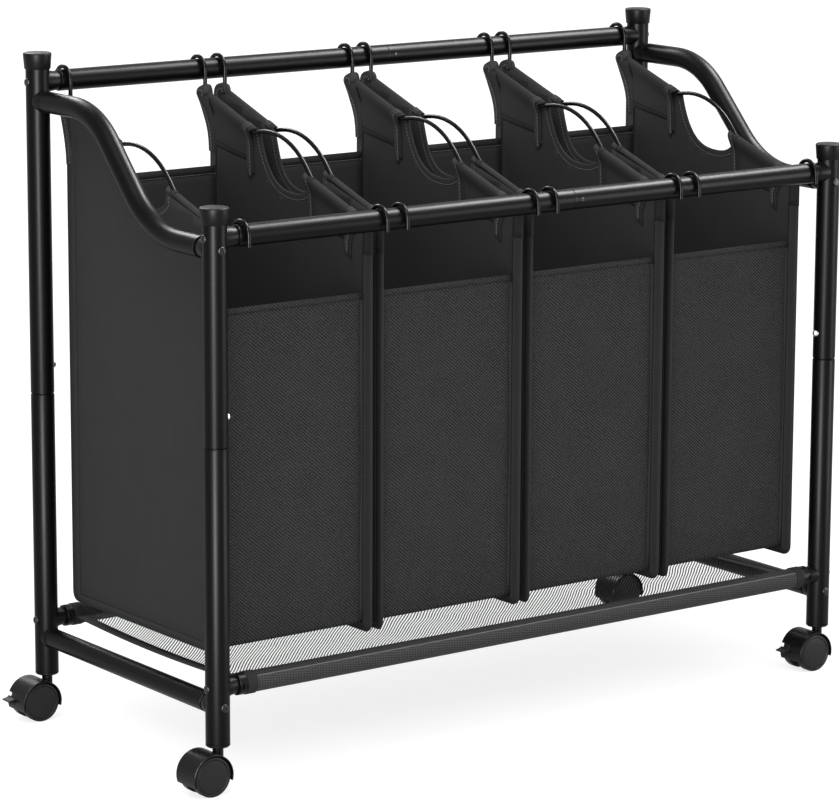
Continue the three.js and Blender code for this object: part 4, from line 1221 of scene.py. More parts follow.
def wrap_panel(n):
    """The strip that makes a bag's front, bottom and back: one cloth with soft folds along the floor."""
    sag = bpy.context.scene.sorter_sizes.bag_sag * 1000 * 0.5
    x = BAG_MIDDLES[n]
    front, rear = BAG_FRONT + SEAM_FLANGE, BAG_REAR - SEAM_FLANGE
    front_top, rear_top = FRONT_BAR_Z - FRONT_PANEL_DROP, REAR_BAR_Z - REAR_PANEL_DROP
    fold = 7
    path = [(front, z) for z in reversed(spread(BAG_FLOOR + fold, front_top, 18))]
    path += arc((front, BAG_FLOOR + fold), (front, BAG_FLOOR), (front + fold, BAG_FLOOR))[1:]
    path += [(y, BAG_FLOOR) for y in spread(front + fold, rear - fold, 18)]
    path += arc((rear - fold, BAG_FLOOR), (rear, BAG_FLOOR), (rear, BAG_FLOOR + fold))[1:]
    path += [(rear, z) for z in spread(BAG_FLOOR + fold, rear_top, 18)]
    half = WRAP_HALF
    places = spread(-half, half, 12)
    bm = bmesh.new()
    _, edges = chain(bm, [spot(x + places[0], y, z) for y, z in path])
    for low, high in zip(places, places[1:]):
        made = bmesh.ops.extrude_edge_only(bm, edges=edges)["geom"]
        ring = [g for g in made if isinstance(g, bmesh.types.BMVert)]
        edges = new_edges(made, ring)
        bmesh.ops.translate(bm, verts=ring, vec=Vector((high - low, 0, 0)) * MM)
    for vert in bm.verts:
        across = 1 - (((vert.co.x - MIDDLE_X) / MM - x) / half) ** 2
        y, z = vert.co.y / MM, vert.co.z / MM
        top = front_top if y < 0 else rear_top
        if z < BAG_FLOOR + 1:
            vert.co.z -= 0.6 * across * smooth((y - front) / 60) * smooth((rear - y) / 60) * MM
        else:
            belly = math.sin(math.pi * min(1, (z - BAG_FLOOR) / (top - BAG_FLOOR)))
            vert.co.y += (1 if y > 0 else -1) * sag * across * belly * MM
    piece = made_piece(
        f"bag_{n}_wrap", bm, f"hanging_bag_{n}", finish_of("twill"), [f"bag_{n}"], 60
    )
    thick(piece, 1.4)
    panel_trims(n)


def side_of(line, k):
    """The unit direction to the right of a (y, z) line at its k-th point."""
    (ay, az), (by, bz) = line[max(0, k - 1)], line[min(len(line) - 1, k + 1)]
    run = math.hypot(by - ay, bz - az)
    return (bz - az) / run, (ay - by) / run


def inset_line(line, inset):
    """A (y, z) line moved to its left."""
    return [
        (y - side_y * inset, z - side_z * inset)
        for (y, z), (side_y, side_z) in ((point, side_of(line, k)) for k, point in enumerate(line))
    ]


def edge_band(name, n, side, line, width, thickness, finish, stand=None):
    """A strip of binding in from the line along a panel's edge. stand gives how far inside it lies."""
    last = len(line) - 1

    def band_spot(u, v):
        k = round(u * last)
        y, z = inset_line(line, width * v)[k]
        return panel_spot(n, side, y, z, stand(y, z) if stand else 0)

    bm = bmesh.new()
    mapped(bm, last, 4, band_spot)
    piece = made_piece(name, bm, f"hanging_bag_{n}", finish, edge_angle=60)
    thick(piece, thickness)
    return piece


def flap_spot(n, side, end, along, share, lift=0.0):
    """A point on the fold over the wire: along the wire, and a share of the way over and down inside."""
    way = WAY[side]
    lines = FOLDS[end]
    wire_z = rear_wire_z if end == "rear" else front_wire_z
    over, hung, foot = (between(*lines[key], along) for key in ("over", "hung", "foot"))
    top = between(over, hung, smooth((share - 0.22) / 0.25))
    x = panel_x(n, side)
    reach = FOLD_RADIUS + lift
    if share < FOLD_OVER:
        angle = math.pi * (share / FOLD_OVER * 1.08 - 0.08)
        return spot(
            x + way * (reach * math.cos(angle) - FOLD_RADIUS), top, wire_z(top) + reach * math.sin(angle)
        )
    drop = (share - FOLD_OVER) / (1 - FOLD_OVER)
    y = between(top, foot, min(1, drop) ** 1.25)
    z = between(wire_z(y), between(*lines["foot_z"], along), drop ** 1.25)
    settled = smooth((wire_z(y) - z) / FOLD_SETTLE)
    flush = 0.7 * smooth((drop - 0.75) / 0.25) if lift == 0 else 0
    inside = between(FOLD_RADIUS + reach, 1.3 - flush + lift, settled)
    return spot(x + way * (panel_swell(y, z) * settled - inside), y, z)


def bag_folds(n, side):
    """The cloth folded over the wire at each end and sewn down inside, with its bound ends and stitches."""
    body = f"hanging_bag_{n}"
    pieces = []
    thread = bmesh.new()
    dark = bmesh.new()
    inward = Vector((-WAY[side], 0, 0))
    for end in ENDS:
        bm = bmesh.new()
        mapped(bm, 16, 18, lambda along, share: flap_spot(n, side, end, along, share))
        label = f"bag_{n}_fold_{end}_{side}"
        piece = made_piece(label, bm, body, finish_of("cloth"), edge_angle=60)
        thick(piece, 0.9)
        pieces.append(piece)
        if end == "rear":
            foot = [flap_spot(n, side, end, i / 12, 0.93, 0.4) for i in range(13)]
            stitches(dark, foot, inward, STITCH_PROUD)
        # The dark tape half of each strip is painted shade on its shadowed side.
        for i, (low, high, reach, finish, lift) in enumerate(STRIPS[end]):

            def strip_spot(u, v):
                pointed = 0.5 * smooth((v * reach - 1.06) / 0.14) * (1 - u)
                return flap_spot(n, side, end, between(low, high, u + pointed), v * reach, lift)

            bm = bmesh.new()
            mapped(bm, 4, 26, strip_spot)
            label = f"bag_{n}_strip_{end}_{side}_{i}"
            piece = made_piece(label, bm, body, finish_of(finish), edge_angle=60)
            thick(piece, 1.1)
            pieces.append(piece)
            if finish == "tape":
                row = [
                    flap_spot(n, side, end, between(low, high, 0.8), share, lift + 0.6)
                    for share in spread(FOLD_OVER + 0.02, reach - 0.06, 0.05)
                ]
                stitches(thread, row, inward, STITCH_PROUD)
    for name, bm, finish in (("strip", thread, "thread"), ("foot", dark, "dark_thread_and_shade")):
        pieces.append(made_piece(f"bag_{n}_{name}_stitches_{side}", bm, body, finish_of(finish)))
    return pieces


def gap_to(line, y, z):
    """The distance from a point to a line of (y, z) points."""
    gaps = []
    for (ay, az), (by, bz) in zip(line, line[1:]):
        run_y, run_z = by - ay, bz - az
        share = ((y - ay) * run_y + (z - az) * run_z) / (run_y**2 + run_z**2)
        share = min(1, max(0, share))
        gaps.append(math.hypot(y - ay - run_y * share, z - az - run_z * share))
    return min(gaps)


def ear_pieces(n, side):
    """The ear's inner layer, which hides the wire's bend, and the binding round its edge."""
    body = f"hanging_bag_{n}"
    edge = ear_edge()
    stem = POST_Y - HOOK_RADIUS

    def stand(y, z):
        rounding = min(1, gap_to(edge, y, z) / EAR_ROUND)
        bulge = EAR_BULGE * math.sqrt(1 - (1 - rounding) ** 2)
        settled = smooth((rear_wire_z(y) - 2 - z) / 24)
        return 1.2 + between(bulge, 0.2, settled)

    inner = stem - 15
    outline = edge + [(inner, rear_wire_z(inner) - 1), (inner, EAR_TOP - 74)]
    bm = bmesh.new()
    verts, edges = chain(bm, [spot(0, y, z) for y, z in outline])
    edges.append(bm.edges.new((verts[-1], verts[0])))
    bmesh.ops.contextual_create(bm, geom=edges)
    sliced(bm, 1, [y * MM for y in spread(inner, stem + 17, 1.6)[1:-1]])
    sliced(bm, 2, [z * MM for z in spread(EAR_TOP - 74, EAR_TOP + 6, 1.6)[1:-1]])
    for vert in bm.verts:
        y, z = vert.co.y / MM, vert.co.z / MM
        vert.co = panel_spot(n, side, y, z, stand(y, z))
    layer = made_piece(f"bag_{n}_ear_lining_{side}", bm, body, finish_of("cloth"), edge_angle=60)
    thick(layer, 1.0)
    inside = edge_band(
        f"bag_{n}_ear_binding_inner_{side}", n, side, edge, 7.5, 1.0,
        finish_of("tape"), lambda y, z: stand(y, z) + 0.8,
    )
    outside = edge_band(
        f"bag_{n}_ear_binding_{side}", n, side, edge, 10.5, 1.2,
        finish_of("tape"), lambda y, z: -0.9,
    )
    row = inset_line(edge, 6.4)
    bm = bmesh.new()
    sewn = [panel_spot(n, side, y, z, stand(y, z) + 1.4) for y, z in row]
    stitches(bm, sewn, (-WAY[side], 0, 0), STITCH_PROUD)
    stitches(bm, [panel_spot(n, side, y, z, -1.6) for y, z in row], (WAY[side], 0, 0), STITCH_PROUD)
    thread = made_piece(f"bag_{n}_ear_stitches_{side}", bm, body, finish_of("thread"))
    return [layer, inside, outside, thread]


def seam_line():
    """The line that joins a side panel to the wrap: down the front, along the floor and up the rear."""
    front, rear = BAG_FRONT + SEAM_FLANGE, BAG_REAR - SEAM_FLANGE
    front_top = front_wire_z(BAG_FRONT) - 6
    down = [(front, z) for z in reversed(spread(BAG_FLOOR, front_top, 12))]
    along = [(y, BAG_FLOOR) for y in spread(front, rear, 12)]
    up = [(rear, z) for z in spread(BAG_FLOOR, EAR_TOP - 80, 12)]
    return down + along[1:] + up[1:]


def bag_trims(n, side):
    """Binding and stitches round the scoop, the seam's stitches, and the patch on the front seam."""
    body = f"hanging_bag_{n}"
    width = bpy.context.scene.sorter_sizes.binding_width * 1000
    across = (WAY[side], 0, 0)
    scoop = scoop_edge()
    binding = edge_band(
        f"bag_{n}_scoop_binding_{side}", n, side, scoop, width, PANEL_THICKNESS + 0.3, finish_of("cloth")
    )
    patch_top = front_wire_z(BAG_FRONT) - 5
    patch = [(BAG_FRONT - 0.4, z) for z in reversed(spread(patch_top - 31, patch_top, 8))]
    corner = edge_band(
        f"bag_{n}_seam_patch_{side}", n, side, patch,
        SEAM_FLANGE + 1, PANEL_THICKNESS + 0.5, finish_of("dark_tape_and_shade"),
    )
    bm = bmesh.new()
    row = inset_line(scoop, width - 1.4)
    stitches(bm, [panel_spot(n, side, y, z) for y, z in row], across, PANEL_THICKNESS + 2 * STITCH_PROUD)
    thread = made_piece(f"bag_{n}_scoop_stitches_{side}", bm, body, finish_of("thread"))
    bm = bmesh.new()
    sewn = [panel_spot(n, side, y, z) for y, z in seam_line()]
    stitches(bm, sewn, across, PANEL_THICKNESS + 2 * STITCH_PROUD)
    seam = made_piece(f"bag_{n}_seam_stitches_{side}", bm, body, finish_of("dark_thread_and_shade"))
    return [binding, corner, thread, seam]


def flat_strip(name, n, line, across, thickness, finish):
    """A flat strip of cloth: a line of points, pulled across."""
    bm = bmesh.new()
    _, edges = chain(bm, line)
    made = bmesh.ops.extrude_edge_only(bm, edges=edges)["geom"]
    ring = [g for g in made if isinstance(g, bmesh.types.BMVert)]
    bmesh.ops.translate(bm, verts=ring, vec=Vector(across) * MM)
    piece = made_piece(name, bm, f"hanging_bag_{n}", finish_of(finish), edge_angle=60)
    thick(piece, thickness)
    return piece


def panel_trims(n):
    """The stitched hems of both panels, the tapes along the front seams, and a dark line in each rear inner
    corner that is a painted shadow.
    """
    body = f"hanging_bag_{n}"
    x = BAG_MIDDLES[n]
    front, rear = BAG_FRONT + SEAM_FLANGE, BAG_REAR - SEAM_FLANGE
    front_top, rear_top = FRONT_BAR_Z - FRONT_PANEL_DROP, REAR_BAR_Z - REAR_PANEL_DROP
    half = WRAP_HALF - 0.4
    pieces = []
    for end, y, top, depth, finish, thread in (
        ("front", front, front_top, 8, "twill", "dark_thread_and_shade"),
        ("rear", rear, rear_top, 10.5, "dark_tape_and_shade", "thread"),
    ):
        line = spread(-half, half, 12)
        pieces.append(
            flat_strip(
                f"bag_{n}_hem_{end}", n, [spot(x + s, y, top + 0.3) for s in line],
                (0, 0, -depth), 1.6, finish,
            )
        )
        bm = bmesh.new()
        stitches(bm, [spot(x + s, y, top - depth + 1.6) for s in line], (0, 1, 0), 1.8 + 2 * STITCH_PROUD)
        pieces.append(made_piece(f"bag_{n}_hem_stitches_{end}", bm, body, finish_of(thread)))
    for side in SIDES:
        edge = x + WAY[side] * half
        heights = spread(BAG_FLOOR + 4, front_top - 8.2, 18)
        pieces.append(
            flat_strip(
                f"bag_{n}_seam_tape_{side}", n, [spot(edge, front, z) for z in heights],
                (-WAY[side] * 5, 0, 0), 1.6, "cloth",
            )
        )
        # A thin dark rod in each rear inner corner: painted shadow where the back and side panels meet.
        bm = bmesh.new()
        corner = [(spot(edge - WAY[side] * 0.9, rear - 1.3, z), 0) for z in (BAG_FLOOR + 8, rear_top + 22)]
        drawn(bm, corner, 1.1, 8)
        pieces.append(
            made_piece(f"bag_{n}_corner_seam_{side}", bm, body, finish_of("dark_thread_and_shade"))
        )
    return pieces


def bag_wire(n, side):
    """One bag wire, bent from one rod."""
    node = f"bag_wire_{n}_{side}"
    x = (middle(node).x - MIDDLE_X) / MM
    bm = bmesh.new()
    drawn(bm, [(spot(x, y, z), bend) for y, z, bend in wire_corners()], WIRE_RADIUS, SMALL_STEPS)
    piece = made_piece(f"bent_{node}", bm, f"hanging_bag_{n}", finish_of("wire"), [node])
    broken_edges(piece, 0.3)


# ---------- casters ----------


def swept(bm, section, centre, from_angle, to_angle):
    """Sweeps a closed (radius, y) section about the axle, between two angles in degrees."""
    start = math.radians(from_angle)
    ray = Vector((math.cos(start), 0, math.sin(start)))
    verts = [bm.verts.new(centre + (ray * radius + Vector((0, y, 0))) * MM) for radius, y in section]
    face = bm.faces.new(verts)
    steps = max(2, math.ceil((to_angle - from_angle) / 5))
    bmesh.ops.spin(
        bm,
        geom=[*face.verts, *face.edges, face],
        cent=centre,
        axis=(0, -1, 0),
        angle=math.radians(to_angle - from_angle),
        steps=steps,
    )


def hood_section(low_y, high_y):
    """The hood's wall with its rounded rims."""
    bore, skin = HOOD_RADIUS - HOOD_WALL, HOOD_RADIUS
    return [
        (bore, low_y + 0.2), (bore + 0.3, low_y), (skin - 0.5, low_y), (skin, low_y + 0.5),
        (skin, high_y - 0.5), (skin - 0.5, high_y), (bore + 0.3, high_y), (bore, high_y - 0.2),
    ]


def caster_housing(end, side):
    """A caster's hood, web and swivel boss."""
    corner = f"{end}_{side}"
    node = f"caster_housing_{corner}"
    axle = spot(WAY[side] * POST_X - CASTER_TRAIL, WAY[end] * POST_Y, AXLE_Z)
    bm = bmesh.new()
    if (end, side) in BRAKED:
        window = LEVER_HIGH - LEVER_TRAVEL - 0.7
        swept(bm, hood_section(-HOOD_HALF, HOOD_HALF), axle, HOOD_FRONT_ANGLE, window)
        swept(bm, hood_section(-HOOD_HALF, WEB_HALF), axle, window, LEVER_LOW + 0.7)
        swept(bm, hood_section(-HOOD_HALF, HOOD_HALF), axle, LEVER_LOW + 0.7, HOOD_REAR_ANGLE)
    else:
        swept(bm, hood_section(-HOOD_HALF, HOOD_HALF), axle, HOOD_FRONT_ANGLE, HOOD_REAR_ANGLE)
    web = [(0.5, -WEB_HALF), (WEB_RADIUS, -WEB_HALF), (WEB_RADIUS, WEB_HALF), (0.5, WEB_HALF)]
    swept(bm, web, axle, HOOD_FRONT_ANGLE + WEB_INSET, HOOD_REAR_ANGLE - WEB_INSET)
    pin = [(0, -AXLE_HALF), (AXLE_RADIUS, -AXLE_HALF), (AXLE_RADIUS, AXLE_HALF), (0, AXLE_HALF)]
    turned(bm, pin, axle, (0, 1, 0), SMALL_STEPS)
    swivel = spot(WAY[side] * POST_X, WAY[end] * POST_Y, 0)
    boss_top = height(node, True)
    turned(
        bm,
        [
            (0, AXLE_Z + BOSS_RISE), (BOSS_RADIUS, AXLE_Z + BOSS_RISE), (BOSS_RADIUS, boss_top - 0.6),
            (BOSS_RADIUS - 0.6, boss_top), (0, boss_top),
        ],
        swivel, (0, 0, 1),
    )
    return made_piece(
        f"moulded_{node}", bm, f"caster_{corner}", finish_of("hood"), [node], 28
    )


def caster_wheel(end, side, half):
    """One wheel of a caster: a tread, a rim ring and a slightly domed disc."""
    corner = f"{end}_{side}"
    node = f"caster_wheel_{corner}_{half}"
    way = -1 if half == "a" else 1
    axle = spot(WAY[side] * POST_X - CASTER_TRAIL, WAY[end] * POST_Y, AXLE_Z)
    radius = AXLE_Z
    ring = radius - WHEEL_RIM
    bm = bmesh.new()
    turned(
        bm,
        [
            (0, WHEEL_FACE + 0.35), (ring * 0.5, WHEEL_FACE + 0.2), (ring * 0.86, WHEEL_FACE - 0.35),
            (ring - 0.7, WHEEL_FACE - 0.75), (ring - 0.3, WHEEL_FACE - 1.15), (ring + 0.1, WHEEL_FACE - 0.7),
            (ring + 0.5, WHEEL_FACE), (radius - 1.1, WHEEL_FACE), (radius - 0.3, WHEEL_FACE - 0.35),
            (radius, WHEEL_FACE - 1.2), (radius, WHEEL_INNER + 0.5), (radius - 0.5, WHEEL_INNER),
            (ring - 0.5, WHEEL_INNER), (ring - 0.5, 15), (5.6, 15), (5.6, 5.2),
            (3.3, 5.2), (3.3, 14.6), (0, 14.6),
        ],
        axle, (0, way, 0), 64,
    )
    body = f"wheel_{corner}_{half}"
    made_piece(f"moulded_{node}", bm, body, finish_of("wheel"), [node], 26)


def brake_lever(end, side):
    """The brake lever: a pad that fills the hood's window, its foot tab, and the arm to the axle."""
    corner = f"{end}_{side}"
    node = f"brake_lever_{corner}"
    axle = spot(WAY[side] * POST_X - CASTER_TRAIL, WAY[end] * POST_Y, AXLE_Z)
    inner = WEB_HALF + SEAT
    bm = bmesh.new()
    swept(bm, hood_section(inner, HOOD_HALF), axle, LEVER_HIGH, LEVER_LOW)
    arm_end = inner + 1.4
    arm = [(0.5, inner), (HOOD_RADIUS - 0.8, inner), (HOOD_RADIUS - 0.8, arm_end), (0.5, arm_end)]
    swept(bm, arm, axle, LEVER_TIP - 8, LEVER_TIP + 8)
    root = HOOD_RADIUS - HOOD_WALL / 2
    reach = HOOD_RADIUS + LEVER_PROUD
    outline = [
        (root, LEVER_HIGH + 1.5), (root + 3.4, LEVER_TIP - 4.2), (reach, LEVER_TIP - 1.6),
        (reach + 0.1, LEVER_TIP + 1.2), (root + 2.6, LEVER_TIP + 4.4), (root, LEVER_LOW - 1.5),
    ]
    verts = []
    for radius, degrees in outline:
        angle = math.radians(degrees)
        ray = Vector((math.cos(angle) * radius, inner + 0.2, math.sin(angle) * radius))
        verts.append(bm.verts.new(axle + ray * MM))
    face = bm.faces.new(verts)
    made = bmesh.ops.extrude_face_region(bm, geom=[face])["geom"]
    moved = [g for g in made if isinstance(g, bmesh.types.BMVert)]
    bmesh.ops.translate(bm, verts=moved, vec=Vector((0, HOOD_HALF - inner - 0.4, 0)) * MM)
    body = f"lever_{corner}"
    piece = made_piece(f"moulded_{node}", bm, body, finish_of("wheel"), [node], 30)
    broken_edges(piece, 0.35)


def caster_stem(end, side):
    """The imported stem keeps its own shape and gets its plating."""
    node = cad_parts[f"caster_stem_{end}_{side}"]
    node.data.materials.clear()
    node.data.materials.append(finish_of("steel"))


# ---------- stage ----------

CAMERA_AZIMUTH = math.radians(-36.403)
CAMERA_HEIGHT = math.radians(11.58)
CAMERA_ROLL = math.radians(0.224)
CAMERA_DISTANCE = 4.6075
CAMERA_AIM = Vector((MIDDLE_X - 0.0349, 0, 0.36685))
CAMERA_LENS = 164.76


def stage_camera():
    """A long lens from the front left, a little above the bags."""
    camera = bpy.data.cameras.new("camera")
    camera.lens = CAMERA_LENS
    camera.sensor_width = 36
    camera.sensor_fit = "HORIZONTAL"
    camera.clip_end = 50
    eye = bpy.data.objects.new("camera", camera)
    bpy.context.scene.collection.objects.link(eye)
    flat = math.cos(CAMERA_HEIGHT)
    right, front = math.sin(CAMERA_AZIMUTH), -math.cos(CAMERA_AZIMUTH)
    back = Vector((right * flat, front * flat, math.sin(CAMERA_HEIGHT)))
    turn = back.to_track_quat("Z", "Y").to_matrix() @ Matrix.Rotation(CAMERA_ROLL, 3, "Z")
    eye.matrix_world = Matrix.Translation(CAMERA_AIM + back * CAMERA_DISTANCE) @ turn.to_4x4()
    bpy.context.scene.camera = eye


def soft_light(name, place, size, power, gloss_only=False):
    """A large soft lamp that faces the sorter. A gloss lamp shows in reflections and adds no other light."""
    lamp = bpy.data.lights.new(name, "AREA")
    lamp.shape = "RECTANGLE"
    lamp.size, lamp.size_y = size
    lamp.energy = power
    holder = bpy.data.objects.new(name, lamp)
    bpy.context.scene.collection.objects.link(holder)
    place = Vector(place)
    aim = Vector((MIDDLE_X, 0, 0.4))
    turn = (place - aim).to_track_quat("Z", "Y").to_matrix().to_4x4()
    holder.matrix_world = Matrix.Translation(place) @ turn
    holder.visible_camera = False
    holder.visible_diffuse = not gloss_only


def white_to_the_eye(nodes, shown, lit, end):
    """Shows one shader where the camera, gloss or glass looks, and the lit one otherwise."""
    camera, glossy, glass = (
        nodes.node("ShaderNodeLightPath", output=f"Is {ray} Ray")
        for ray in ("Camera", "Glossy", "Transmission")
    )
    seen = nodes.node("ShaderNodeMixShader", (), {0: camera.most(glossy).most(glass), 1: lit, 2: shown})
    nodes.join(seen, nodes.tree.nodes[end].inputs["Surface"])


def stage_world(brightness):
    """A white backdrop, with a softer white for the light that it gives."""
    world = bpy.data.worlds.new("studio")
    bpy.context.scene.world = world
    world.use_nodes = True
    nodes = Nodes(world.node_tree)
    lit = world.node_tree.nodes["Background"].inputs
    nodes.join(WHITE, lit["Color"])
    nodes.join(brightness, lit["Strength"])
    shown = nodes.node("ShaderNodeBackground", (), {"Color": WHITE, "Strength": 1})
    white_to_the_eye(nodes, shown, nodes.own("Background"), "World Output")


def stage_floor(colour, shown_share, glow):
    """A plain pale floor that keeps the sorter's shadow. The eye sees a share of its light, on a glow."""
    bm = bmesh.new()
    bmesh.ops.create_grid(bm, x_segments=1, y_segments=1, size=30)
    mesh = bpy.data.meshes.new("floor")
    bm.to_mesh(mesh)
    bm.free()
    floor = bpy.data.objects.new("floor", mesh)
    bpy.context.scene.collection.objects.link(floor)
    finish = Finish("studio_floor", Base_Color=colour, Roughness=0.9, Specular_IOR_Level=0.0)
    glowing = finish.node("ShaderNodeEmission", (), {"Color": WHITE, "Strength": glow})
    pale = finish.node("ShaderNodeBsdfDiffuse", (), {"Color": (*(c * shown_share for c in colour), 1)})
    both = finish.node("ShaderNodeAddShader", (), {0: pale, 1: glowing})
    white_to_the_eye(finish, both, finish.own("Principled BSDF"), "Material Output")
    mesh.materials.append(finish.material)


# ---------- the add-on ----------


def shade(name, description, value):
    """A colour property, given as its shade on screen."""
    linear = tuple(((v / 255 + 0.055) / 1.055) ** 2.4 for v in value)
    return FloatVectorProperty(
        name=name, description=description, default=linear, subtype="COLOR", min=0, max=1
    )


def length(name, description, millimetres):
    """A length property, in metres with a default in millimetres."""
    return FloatProperty(name=name, description=description, default=millimetres * MM, unit="LENGTH", min=0)


class SorterSizes(bpy.types.PropertyGroup):
    """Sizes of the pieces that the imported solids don't settle."""

    bar_joint: length("Bar joint", "Where the two halves of a top bar meet, from the middle", 45)
    screw_head: length("Screw head", "Across the button heads of the frame's screws", 9.8)
    shelf_sag: length("Shelf sag", "How far the mesh shelf hangs between its bars", 5)
    mesh_pitch: length("Mesh pitch", "From one yarn of the shelf's mesh to the next", 3.3)
    mesh_openness: FloatProperty(
        name="Mesh openness", description="Share of a yarn's pitch that is open", default=0.58, min=0.3, max=1
    )
    bag_swell: length("Bag swell", "How far a bag's side panel bellies out", 2.6)
    bag_sag: length("Bag sag", "How far a bag's front and back panels hang and belly", 2.4)
    binding_width: length("Binding width", "Width of the tape round the handle scoop", 8.5)
    twill_pitch: length("Twill pitch", "From one yarn of the front panel's twill to the next", 5.0)
    fine_weave: length("Fine weave", "From one yarn of the smooth cloth to the next", 0.9)


class SorterColours(bpy.types.PropertyGroup):
    """Colours of the finishes."""

    tube: shade("Tube", "Powder coat on the frame", (7, 7, 8))
    tube_roughness: FloatProperty(
        name="Tube roughness", description="How dull the powder coat is",
        default=0.38, min=0, max=1, subtype="FACTOR",
    )
    wire: shade("Wire", "Coating on the bag wires", (8, 8, 9))
    cap: shade("Caps", "Plastic of the caps, sockets and saddles", (17, 17, 18))
    caster: shade("Hoods", "Plastic of the caster hoods", (17, 17, 18))
    wheel: shade("Wheels", "Plastic of the caster wheels", (42, 42, 43))
    steel: shade("Steel", "Plating on the stems", (186, 187, 190))
    screw: shade("Screws", "Finish of the screw heads", (22, 22, 23))
    cloth: shade("Smooth cloth", "Side panels of the bags", (55, 55, 56))
    twill: shade("Twill dark", "Dark yarns of the bags' front", (35, 35, 36))
    fleck: shade("Twill light", "Light yarns of the bags' front", (66, 66, 67))
    tape: shade("Tape", "Bindings and strips", (62, 62, 63))
    # The dark tape colour also makes the painted shade on the shadowed half of the fold strips.
    dark_tape_and_shade: shade("Dark tape", "Rear hems, corner patches and the shelf's end bindings", (46, 46, 47))
    mesh: shade("Mesh", "Yarn of the shelf's mesh", (42, 42, 43))
    sleeve: shade("Mesh sleeve", "Yarn of the mesh drawn round the bottom bars", (64, 64, 65))
    # The mesh gap colour also makes the painted shade on top of the sleeves and, through the dark thread
    # finish, the painted shadow line in each bag's rear corners.
    gap: shade("Mesh gaps", "What shows in the gaps of the mesh on the bars", (14, 14, 15))
    # The thread colour also makes the light bead along each sleeve, which is a painted highlight.
    thread: shade("Thread", "Sewing thread", (112, 112, 113))
    floor: FloatVectorProperty(
        name="Floor", description="The studio floor", default=(0.9, 0.9, 0.9), subtype="COLOR", min=0, max=1
    )


class SORTER_OT_posts(bpy.types.Operator):
    """Builds the four posts with their caps, foot sockets and screws"""

    bl_idname = "sorter.posts"
    bl_label = "Posts"
    bl_options = {"REGISTER", "UNDO"}

    def execute(self, context):
        for end, side in CORNERS:
            post_pieces(end, side)
            post_screws(end, side)
        return {"FINISHED"}


class SORTER_OT_bars(bpy.types.Operator):
    """Builds the top and bottom bars with their saddles and collars"""

    bl_idname = "sorter.bars"
    bl_label = "Bars"
    bl_options = {"REGISTER", "UNDO"}

    def execute(self, context):
        for end, side in CORNERS:
            top_bar_pieces(end, side)
            bottom_bar_pieces(end, side)
        for end in ENDS:
            joint_pieces(end)
        return {"FINISHED"}


class SORTER_OT_side_frames(bpy.types.Operator):
    """Builds the S-bent side rails and the cross tubes"""

    bl_idname = "sorter.side_frames"
    bl_label = "Side frames"
    bl_options = {"REGISTER", "UNDO"}

    def execute(self, context):
        for side in SIDES:
            side_rail_pieces(side)
            cross_tube_pieces(side)
        return {"FINISHED"}


class SORTER_OT_shelf(bpy.types.Operator):
    """Builds the mesh shelf with its sleeves and bindings"""

    bl_idname = "sorter.shelf"
    bl_label = "Mesh shelf"
    bl_options = {"REGISTER", "UNDO"}

    def execute(self, context):
        shelf_pieces()
        return {"FINISHED"}


class SORTER_OT_bags(bpy.types.Operator):
    """Sews the four bags: panels, folds, strips, linings and bindings"""

    bl_idname = "sorter.bags"
    bl_label = "Bags"
    bl_options = {"REGISTER", "UNDO"}

    def execute(self, context):
        for n in BAGS:
            for side in SIDES:
                bag_side(n, side)
            wrap_panel(n)
        return {"FINISHED"}


class SORTER_OT_wires(bpy.types.Operator):
    """Bends the eight bag wires"""

    bl_idname = "sorter.wires"
    bl_label = "Bag wires"
    bl_options = {"REGISTER", "UNDO"}

    def execute(self, context):
        for n in BAGS:
            for side in SIDES:
                bag_wire(n, side)
        return {"FINISHED"}


class SORTER_OT_casters(bpy.types.Operator):
    """Builds the casters: hoods, wheels, stems and brake levers"""

    bl_idname = "sorter.casters"
    bl_label = "Casters"
    bl_options = {"REGISTER", "UNDO"}

    def execute(self, context):
        for end, side in CORNERS:
            caster_stem(end, side)
            caster_housing(end, side)
            for half in "ab":
                caster_wheel(end, side, half)
        for end, side in BRAKED:
            brake_lever(end, side)
        return {"FINISHED"}


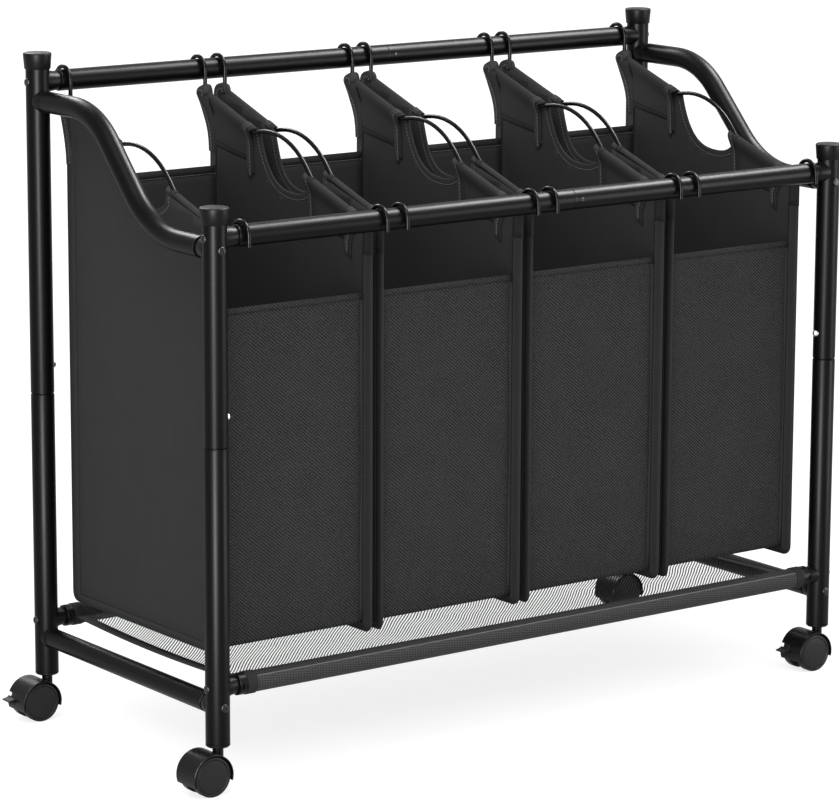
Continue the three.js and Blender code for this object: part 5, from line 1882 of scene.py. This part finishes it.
class SORTER_OT_stage(bpy.types.Operator):
    """Sets up the floor, the lamps, the backdrop and the camera"""

    bl_idname = "sorter.stage"
    bl_label = "Stage"
    bl_options = {"REGISTER", "UNDO"}

    def execute(self, context):
        bpy.context.scene.view_settings.view_transform = "Standard"
        stage_camera()
        stage_world(0.86)
        stage_floor(context.scene.sorter_colours.floor, 0.5, 0.78)
        soft_light("key_light", (-1.25, -1.15, 3.2), (1.8, 1.8), 44)
        soft_light("post_strip", (-2.25, -2.0, 0.6), (0.75, 1.4), 330, True)
        soft_light("bar_strip", (1.72, -0.11, 2.85), (1.1, 1.1), 300, True)
        soft_light("fill_strip", (2.1, -2.1, 0.6), (1.0, 1.2), 70, True)
        soft_light("rail_strip", (-1.75, -1.75, 2.35), (0.5, 0.5), 130, True)
        soft_light("cross_strip", (0.2, 2.3, 2.3), (0.9, 0.9), 75, True)
        return {"FINISHED"}


class SORTER_PT_panel(bpy.types.Panel):
    """Lists the sorter's builders, sizes and colours"""

    bl_idname = "SORTER_PT_panel"
    bl_label = "Laundry Sorter"
    bl_space_type = "VIEW_3D"
    bl_region_type = "UI"
    bl_category = "Sorter"

    def draw(self, context):
        for builder in BUILDERS:
            self.layout.operator(builder.bl_idname)
        for group in (context.scene.sorter_sizes, context.scene.sorter_colours):
            box = self.layout.box()
            for name in group.__annotations__:
                box.prop(group, name)


BUILDERS = (
    SORTER_OT_posts,
    SORTER_OT_bars,
    SORTER_OT_side_frames,
    SORTER_OT_shelf,
    SORTER_OT_bags,
    SORTER_OT_wires,
    SORTER_OT_casters,
    SORTER_OT_stage,
)
CLASSES = (SorterSizes, SorterColours, *BUILDERS, SORTER_PT_panel)


def register():
    for made in CLASSES:
        bpy.utils.register_class(made)
    bpy.types.Scene.sorter_sizes = PointerProperty(type=SorterSizes)
    bpy.types.Scene.sorter_colours = PointerProperty(type=SorterColours)


def unregister():
    del bpy.types.Scene.sorter_colours
    del bpy.types.Scene.sorter_sizes
    for made in reversed(CLASSES):
        bpy.utils.unregister_class(made)


def main():
    """Builds the whole sorter."""
    register()
    bpy.ops.sorter.posts()
    bpy.ops.sorter.bars()
    bpy.ops.sorter.side_frames()
    bpy.ops.sorter.shelf()
    bpy.ops.sorter.bags()
    bpy.ops.sorter.wires()
    bpy.ops.sorter.casters()
    bpy.ops.sorter.stage()


if __name__ == "__main__":
    main()
